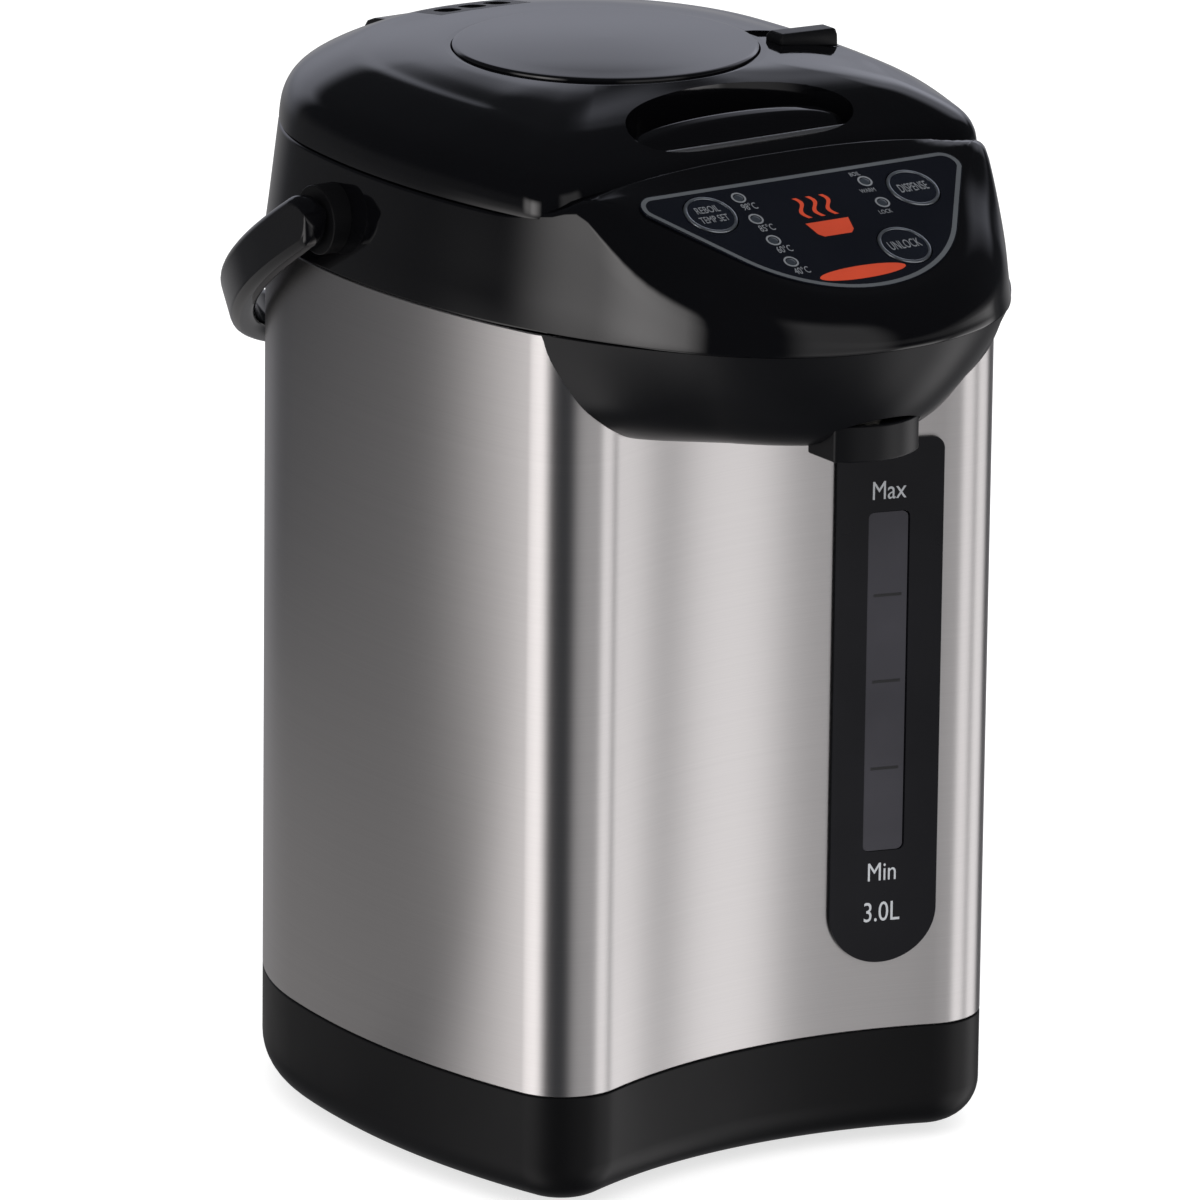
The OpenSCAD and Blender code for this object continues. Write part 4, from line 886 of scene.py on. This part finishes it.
def under_plate():
    high = UNDER_PLATE - CUP_FLOOR
    folds, crest, valley, skin_t = 7, 35.9, 33.0, 1.3
    outer = [(crest if k % 2 else valley, CUP_FLOOR + high * k / (2 * folds)) for k in range(2 * folds + 1)]
    inner = [(r - skin_t, z) for r, z in reversed(outer)]
    skin = lathe("bellows", outer + inner, (0, -PLATE_Y, 0), 96, loop=True)
    smooth(skin, 70)
    dress(skin, RUBBER, "lid", "rubber_black", "air_bellows")
    turns, per_turn, wire, coil = 6, 40, 0.8, 19.1
    steps = turns * per_turn
    rings = []
    for i in range(steps + 1):
        a = 2 * math.pi * i / per_turn
        z = CUP_FLOOR + wire + (high - 2 * wire) * i / steps
        rings.append([(r * math.cos(a), r * math.sin(a) - PLATE_Y, z + rise)
                      for r, rise in circle((coil, 0), wire, 10)])
    spring = loft("spring", rings)
    smooth(spring, 60)
    dress(spring, METAL, "lid", "pin_metal", "plate_spring")
    for piece in (skin, spring):
        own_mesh(piece)


# Lock: steps of its slider as (x0, x1, y0, y1, height at x0, height at x1), and its stem's corners
LOCK_STEPS = ((48.9, 71.1, -42.7, -33.8, 346.35, 343.55), (49.0, 71, -42.6, -33.9, 348.4, 347.4),
              (49.6, 70.4, -42.2, -35.2, 350.1, 349.6))
STEM_LOW, STEM_HIGH = (57.5, -42, 334.4), (62.5, -35, 347)


def lock():
    obj = loft("lock", [[(x0, y0, z0), (x1, y0, z1), (x1, y1, z1), (x0, y1, z0)]
                        for x0, x1, y0, y1, z0, z1 in LOCK_STEPS])
    bevel(obj, 0.7, 3, 20)
    combine(obj, box("tool", STEM_LOW, STEM_HIGH), "UNION")
    smooth(obj, 35)
    dress(obj, SATIN_DARK, "lock", "gloss_black", "pump_lock")


# Paddle in the finger recess: its section as (distance from the ridge, share of the rise)
LATCH_SECTION = ((9.5, 0.03), (8.4, 0.12), (7.2, 0.38), (6.5, 0.62), (5.9, 0.79), (5.2, 0.885),
                 (4.2, 0.93), (2.6, 0.97), (1.1, 1.0), (0.4, 0.97), (0, 0.88))


def latch():
    n, half, bottom, floor_z, most = 48, 38.6, 330.6, 332.0, 8.4
    rows = []
    for i in range(n + 1):
        x = -half * math.cos(math.pi * i / n)
        ridge = min(-84.5, recess_back(x) - 0.6)
        front = max(-100.2, recess_front(x) + 0.8)
        fade = math.sqrt(max(0.0, 1 - (x / (half + 0.4)) ** 2))
        foot = floor_z + 0.3 * fade
        rise = floor_z + most * fade ** 0.6 - foot
        row = [(x, front, bottom), (x, front, bottom + 0.8), (x, front + 0.6, bottom + 1.2),
               (x, min(front + 2, ridge - 9.6), foot)]
        row += [(x, ridge - u, foot + rise * v) for u, v in LATCH_SECTION]
        rows.append(row + [(x, ridge, bottom)])
    obj = loft("latch", rows)
    smooth(obj, 60)
    dress(obj, GLOSS, "latch", "gloss_black", "lid_latch")


# Carrying handle: a flat bar along round ends, bowed flanks and the back's bow, drawn level and then tilted
def handle():
    half_w, flank, length, tilt = 108.8, 170.0, 138.0, -30.5
    half_h, half_t, edge_r = 8.5, 4.2, 3.4
    end_steps, flank_steps, bow_steps, edge_steps = 10, 16, 60, 6
    bow_r = (flank ** 2 - (flank - half_w) ** 2 - length ** 2) / (2 * (flank - length))
    bow_y = length - bow_r
    a = math.atan2(bow_y, flank - half_w)
    side = [(half_w, half_h * (i / end_steps - 1), (-1, 0)) for i in range(end_steps)]
    for i in range(flank_steps + 1):
        t = a * i / flank_steps
        side.append((half_w - flank + flank * math.cos(t), flank * math.sin(t), (-math.cos(t), -math.sin(t))))
    bow = []
    for i in range(1, bow_steps):
        t = a + (math.pi - 2 * a) * i / bow_steps
        bow.append((bow_r * math.cos(t), bow_y + bow_r * math.sin(t), (-math.cos(t), -math.sin(t))))
    rings = []
    for x, y, (nx, ny) in side + bow + [(-x, y, (-nx, ny)) for x, y, (nx, ny) in reversed(side)]:
        h = half_h if y >= 0 else math.sqrt(max(0.3, half_h ** 2 - y * y))
        r = min(edge_r, h * 0.95)
        u, w = half_t - r, h - r
        section = []
        for cx, cz, a0 in ((u, w, 0), (-u, w, 90), (-u, -w, 180), (u, -w, 270)):
            for i in range(edge_steps + 1):
                b = math.radians(a0 + 90 * i / edge_steps)
                section.append((cx + r * math.cos(b), cz + r * math.sin(b)))
        rings.append([(x + nx * out, y + ny * out, z) for out, z in section])
    obj = loft("bow", rings)
    pivot = Matrix.Translation((0, -PIVOT_Y / 1000, PIVOT_Z / 1000))
    obj.data.transform(pivot @ Matrix.Rotation(math.radians(tilt), 4, "X"))
    for s in (-1, 1):
        cut(obj, rod("tool", PIVOT_PIN_R + 0.05, (s * 100, -PIVOT_Y, PIVOT_Z), (s * 110.1, -PIVOT_Y, PIVOT_Z)))
    smooth(obj, 40)
    dress(obj, GLOSS, "handle", "gloss_black", "handle")


# Water gauge. A spot on the hollow front, or out from it
def on_front(x, out):
    a = math.asin(x / FRONT_R)
    r = FRONT_R - out
    return r * math.sin(a), FRONT_C.y + r * math.cos(a)


# Sheet that follows the hollow front, from columns of (x, heights) and between two distances from it
def column_sheet(name, columns, out0, out1):
    verts = [(*on_front(x, out), z) for x, heights in columns for z in heights for out in (out0, out1)]
    faces = []
    m = len(columns[0][1])
    step = 2 * m
    for i in range(len(columns) - 1):
        for j in range(m - 1):
            a, b = i * step + 2 * j, (i + 1) * step + 2 * j
            faces.append((a + 1, b + 1, b + 3, a + 3))
            faces.append((a, a + 2, b + 2, b))
        a, b = i * step, (i + 1) * step
        faces.append((a, b, b + 1, a + 1))
        a, b = i * step + 2 * (m - 1), (i + 1) * step + 2 * (m - 1)
        faces.append((a, a + 1, b + 1, b))
    for a in (0, (len(columns) - 1) * step):
        for j in range(m - 1):
            faces.append((a + 2 * j, a + 2 * j + 1, a + 2 * j + 3, a + 2 * j + 2))
    return make(name, verts, faces)


def gauge():
    r, corner, n = GAUGE_W / 2, 4.0, 72
    columns = []
    for i in range(n + 1):
        u = -r * math.cos(math.pi * i / n)
        low = GAUGE_Z + r - math.sqrt(max(0.0, r * r - u * u))
        over = max(0.0, abs(u) - (r - corner))
        high = GAUGE_TOP - corner + math.sqrt(max(0.0, corner ** 2 - over * over))
        columns.append((GAUGE_X + u, [low + (high - low) * share for share in (0, 0.25, 0.6, 1)]))
    obj = column_sheet("gauge", columns, 0.1, 1.3)
    cut(obj, window_tool())
    bevel(obj, 0.35, 2, 40)
    smooth(obj, 40)
    dress(obj, PANEL_BLACK, "body", "satin_black", "gauge_panel")
    gap, n = 0.2, 24
    half, low, high = WINDOW_W / 2 - gap, WINDOW_Z + gap, WINDOW_Z + WINDOW_H - gap
    columns = []
    for i in range(n + 1):
        u = -half * math.cos(math.pi * i / n)
        over = max(0.0, abs(u) - (half - WINDOW_R))
        e = WINDOW_R - math.sqrt(max(0.0, WINDOW_R ** 2 - over * over))
        columns.append((GAUGE_X + u, [low + e, (low + high) / 2, high - e]))
    pane = column_sheet("gauge_pane", columns, -0.8, 1.1)
    smooth(pane, 40)
    dress(pane, SMOKE, "body", "smoke_window", "gauge_window")
    mark_x, mark_w, mark_h, n = GAUGE_X - 4.2, 9.0, 0.9, 8
    marks = []
    for z in (184.1, 155.8, 127.1):
        columns = [(mark_x + mark_w * i / n, [z - mark_h / 2, z + mark_h / 2]) for i in range(n + 1)]
        marks.append(column_sheet("mark", columns, 1.05, 1.17))
    dress(join("level_marks", marks), PRINT_DARK, "body", "smoke_window")
    narrow, out = 0.78, 1.33
    texts = []
    for text, size, z in (("Max", 8.6, 218.2), ("Min", 8.6, 92.6), ("3.0L", 9.2, 79.3)):
        obj = words(text, size, 0, 0, 0)
        for v in obj.data.vertices:
            x, y, h = v.co * 1000
            v.co = Vector((*on_front(GAUGE_X + x * narrow, out + h), z + y)) / 1000
        texts.append(obj)
    dress(join("gauge_words", texts), PRINT_WHITE, "body", "satin_black")


base()
jacket()
housing()
chin()
nozzle()
panel()
buttons()
lid()
hinge_lug()
vent()
plate()
under_plate()
lock()
latch()
handle()
gauge()

# Materials of the solids that show as they are
for material, nodes in (
        (SATIN, ("bottom_cover", "power_inlet")), (RUBBER, ("feet",)),
        (METAL, ("cover_screws", "hinge_pin", "latch_pin", "pivot_pins", "heater_plate", "heating_element")),
        (BRASS, ("inlet_pins",)), (BOARD, ("power_board", "control_board")), (CLEAR, ("level_tube",)),
        (TANK, ("inner_tank",)), (MOTOR, ("pump_motor",)),
        (WHITE, ("thermostat", "pump_housing", "pump_impeller", "lid_liner")),
        (SILICONE, ("inlet_hose", "riser_hose", "outlet_pipe", "lid_gasket"))):
    for node in nodes:
        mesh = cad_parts[node].data
        mesh.materials.clear()
        mesh.materials.append(material)


# Glowing sheet of the stage
def stage_sheet(name, verts, faces, shading, glow, strength):
    mesh = bpy.data.meshes.new(name)
    mesh.from_pydata(verts, [], faces)
    obj = bpy.data.objects.new(name, mesh)
    bpy.context.scene.collection.objects.link(obj)
    mat, _, bsdf = shader(*shading)
    bsdf.inputs["Emission Color"].default_value = (*glow, 1)
    bsdf.inputs["Emission Strength"].default_value = strength
    mesh.materials.append(mat)
    return obj


WARM, COOL, PLAIN = (1, 0.97, 0.965), (0.85, 0.87, 1), (1, 0.98, 0.985)
FLOOR_HALF, TABLE_IN, TABLE_OUT, TABLE_Z = 14, 0.12, 0.55, 0.001
CORNERS = ((-1, -1), (1, -1), (1, 1), (-1, 1))
floor = stage_sheet("floor", [(x * FLOOR_HALF, y * FLOOR_HALF, 0) for x, y in CORNERS], [(0, 1, 2, 3)],
                    ("floor_white", (0.5, 0.5, 0.5), 0.9, 0.0, 0.1), (1, 1, 1), 0.7)
floor.visible_glossy = False

# Pale table near the left side, seen only in reflections
angles = [math.radians(75 + 12 * i) for i in range(9)]
card = stage_sheet("table_glow",
                   [(r * math.cos(a), r * math.sin(a), TABLE_Z) for a in angles for r in (TABLE_IN, TABLE_OUT)],
                   [(2 * i, 2 * i + 1, 2 * i + 3, 2 * i + 2) for i in range(8)],
                   ("table_glow", (0, 0, 0), 1.0, 0.0, 0.0), PLAIN, 0.28)
card.visible_camera = card.visible_diffuse = card.visible_shadow = False

# One large soft light, which no reflection shows
KEY_AT, KEY_AIM, KEY_SIZE, KEY_POWER = Vector((-0.9, -1.6, 2.4)), Vector((0, 0, 0.1)), 2.2, 26
light = bpy.data.lights.new("key", "AREA")
light.shape = "RECTANGLE"
light.size = light.size_y = KEY_SIZE
light.energy = KEY_POWER
key = bpy.data.objects.new("key", light)
key.location = KEY_AT
key.rotation_euler = (KEY_AIM - KEY_AT).to_track_quat("-Z", "Y").to_euler()
key.visible_camera = key.visible_glossy = False
bpy.context.scene.collection.objects.link(key)

# Studio round the object: soft light fields by direction, seen only in reflections
world = bpy.data.worlds.new("studio")
bpy.context.scene.world = world
world.use_nodes = True
tree = world.node_tree
link = tree.links.new


def connect(value, socket):
    if isinstance(value, bpy.types.NodeSocket):
        link(value, socket)
    else:
        socket.default_value = value


def vector_node(operation, *values):
    node = tree.nodes.new("ShaderNodeVectorMath")
    node.operation = operation
    for value, socket in zip(values, node.inputs):
        connect(value, socket)
    return node


def math_node(operation, a, b):
    node = tree.nodes.new("ShaderNodeMath")
    node.operation = operation
    connect(a, node.inputs[0])
    connect(b, node.inputs[1])
    return node.outputs[0]


def rise_node(value, a, b):
    node = tree.nodes.new("ShaderNodeMapRange")
    node.interpolation_type = "SMOOTHSTEP"
    node.inputs["From Min"].default_value = a
    node.inputs["From Max"].default_value = b
    link(value, node.inputs["Value"])
    return node.outputs["Result"]


ray = tree.nodes.new("ShaderNodeTexCoord").outputs["Generated"]
split = tree.nodes.new("ShaderNodeSeparateXYZ")
link(ray, split.inputs[0])
height = split.outputs["Z"]
level = vector_node("NORMALIZE", vector_node("MULTIPLY", ray, (1, 1, 0)).outputs[0]).outputs[0]


# Field round an azimuth: full within the inner angle, none past the outer, between two pairs of elevations
def field(azimuth, inner, outer, low, high, color, strength, power=1.0):
    a, inner, outer = (math.radians(v) for v in (azimuth, inner, outer))
    dot = vector_node("DOT_PRODUCT", level, (math.cos(a), math.sin(a), 0)).outputs["Value"]
    part = rise_node(dot, math.cos(outer), math.cos(inner))
    if power != 1.0:
        part = math_node("POWER", part, power)
    low0, low1, high0, high1 = (math.sin(math.radians(v)) for v in low + high)
    part = math_node("MULTIPLY", part, rise_node(height, low0, low1))
    part = math_node("MULTIPLY", part, math_node("SUBTRACT", 1.0, rise_node(height, high0, high1)))
    scale = vector_node("SCALE", [c * strength for c in color])
    link(part, scale.inputs["Scale"])
    return scale.outputs[0]


# From the left, from the front, from the right and above
FIELDS = ((173, 5, 37, (-80, -55), (-12, -3), WARM, 1.6, 1.8), (166, 12, 62, (-80, -55), (-12, -3), WARM, 0.09),
          (181, 3, 26, (-8, -2), (2, 16), WARM, 2.0, 2.2), (194, 4, 15, (-8, -2), (4, 16), WARM, 1.4),
          (140, 25, 70, (-80, -55), (-2, 12), PLAIN, 0.06),
          (-50, 30, 75, (-60, -38), (-13, 2), PLAIN, 0.42), (-46, 4, 18, (-60, -38), (-14, -5), PLAIN, 1.5),
          (-8, 8, 20, (-60, -38), (-14, -5), PLAIN, 1.35), (-88, 12, 30, (-16, -6), (28, 45), PLAIN, 0.55),
          (56, 12, 40, (-80, -60), (-6, 4), PLAIN, 0.2), (62, 22, 40, (-14, 14), (19, 27), COOL, 0.66),
          (34, 8, 22, (10, 18), (30, 42), COOL, 0.6))
AMBIENT = (0.034, 0.036, 0.041)
total = AMBIENT
for settings in FIELDS:
    total = vector_node("ADD", total, field(*settings)).outputs[0]
glow = tree.nodes["Background"]
link(total, glow.inputs["Color"])
plain = tree.nodes.new("ShaderNodeBackground")
plain.inputs["Color"].default_value = (1, 1, 1, 1)
path = tree.nodes.new("ShaderNodeLightPath")
mix = tree.nodes.new("ShaderNodeMixShader")
link(path.outputs["Is Glossy Ray"], mix.inputs["Fac"])
link(plain.outputs[0], mix.inputs[1])
link(glow.outputs[0], mix.inputs[2])
link(mix.outputs[0], tree.nodes["World Output"].inputs["Surface"])
bpy.context.scene.view_settings.view_transform = "Standard"

# Camera: its axes before the roll, its place in metres and its focal length in widths of the picture
RIGHT, UP = Vector((0.825609, -0.564243, 0)), Vector((0.157104, 0.229878, 0.960455))
AHEAD, ROLL = Vector((0.54193, 0.792961, -0.278434)), 0.0120279519638651
CAMERA_AT, FOCAL_WIDTHS, SENSOR = (-2.054218, -3.022394, 1.2208), 11858.35 / 1200, 36
cam_data = bpy.data.cameras.new("camera")
cam_data.sensor_fit = "HORIZONTAL"
cam_data.sensor_width = SENSOR
cam_data.lens = FOCAL_WIDTHS * SENSOR
cam_data.clip_end = 50
cam = bpy.data.objects.new("camera", cam_data)
rolled = (math.cos(ROLL) * RIGHT + math.sin(ROLL) * UP, math.cos(ROLL) * UP - math.sin(ROLL) * RIGHT, -AHEAD)
cam.matrix_world = Matrix.Translation(CAMERA_AT) @ Matrix(rolled).transposed().to_4x4()
bpy.context.scene.collection.objects.link(cam)
bpy.context.scene.camera = cam
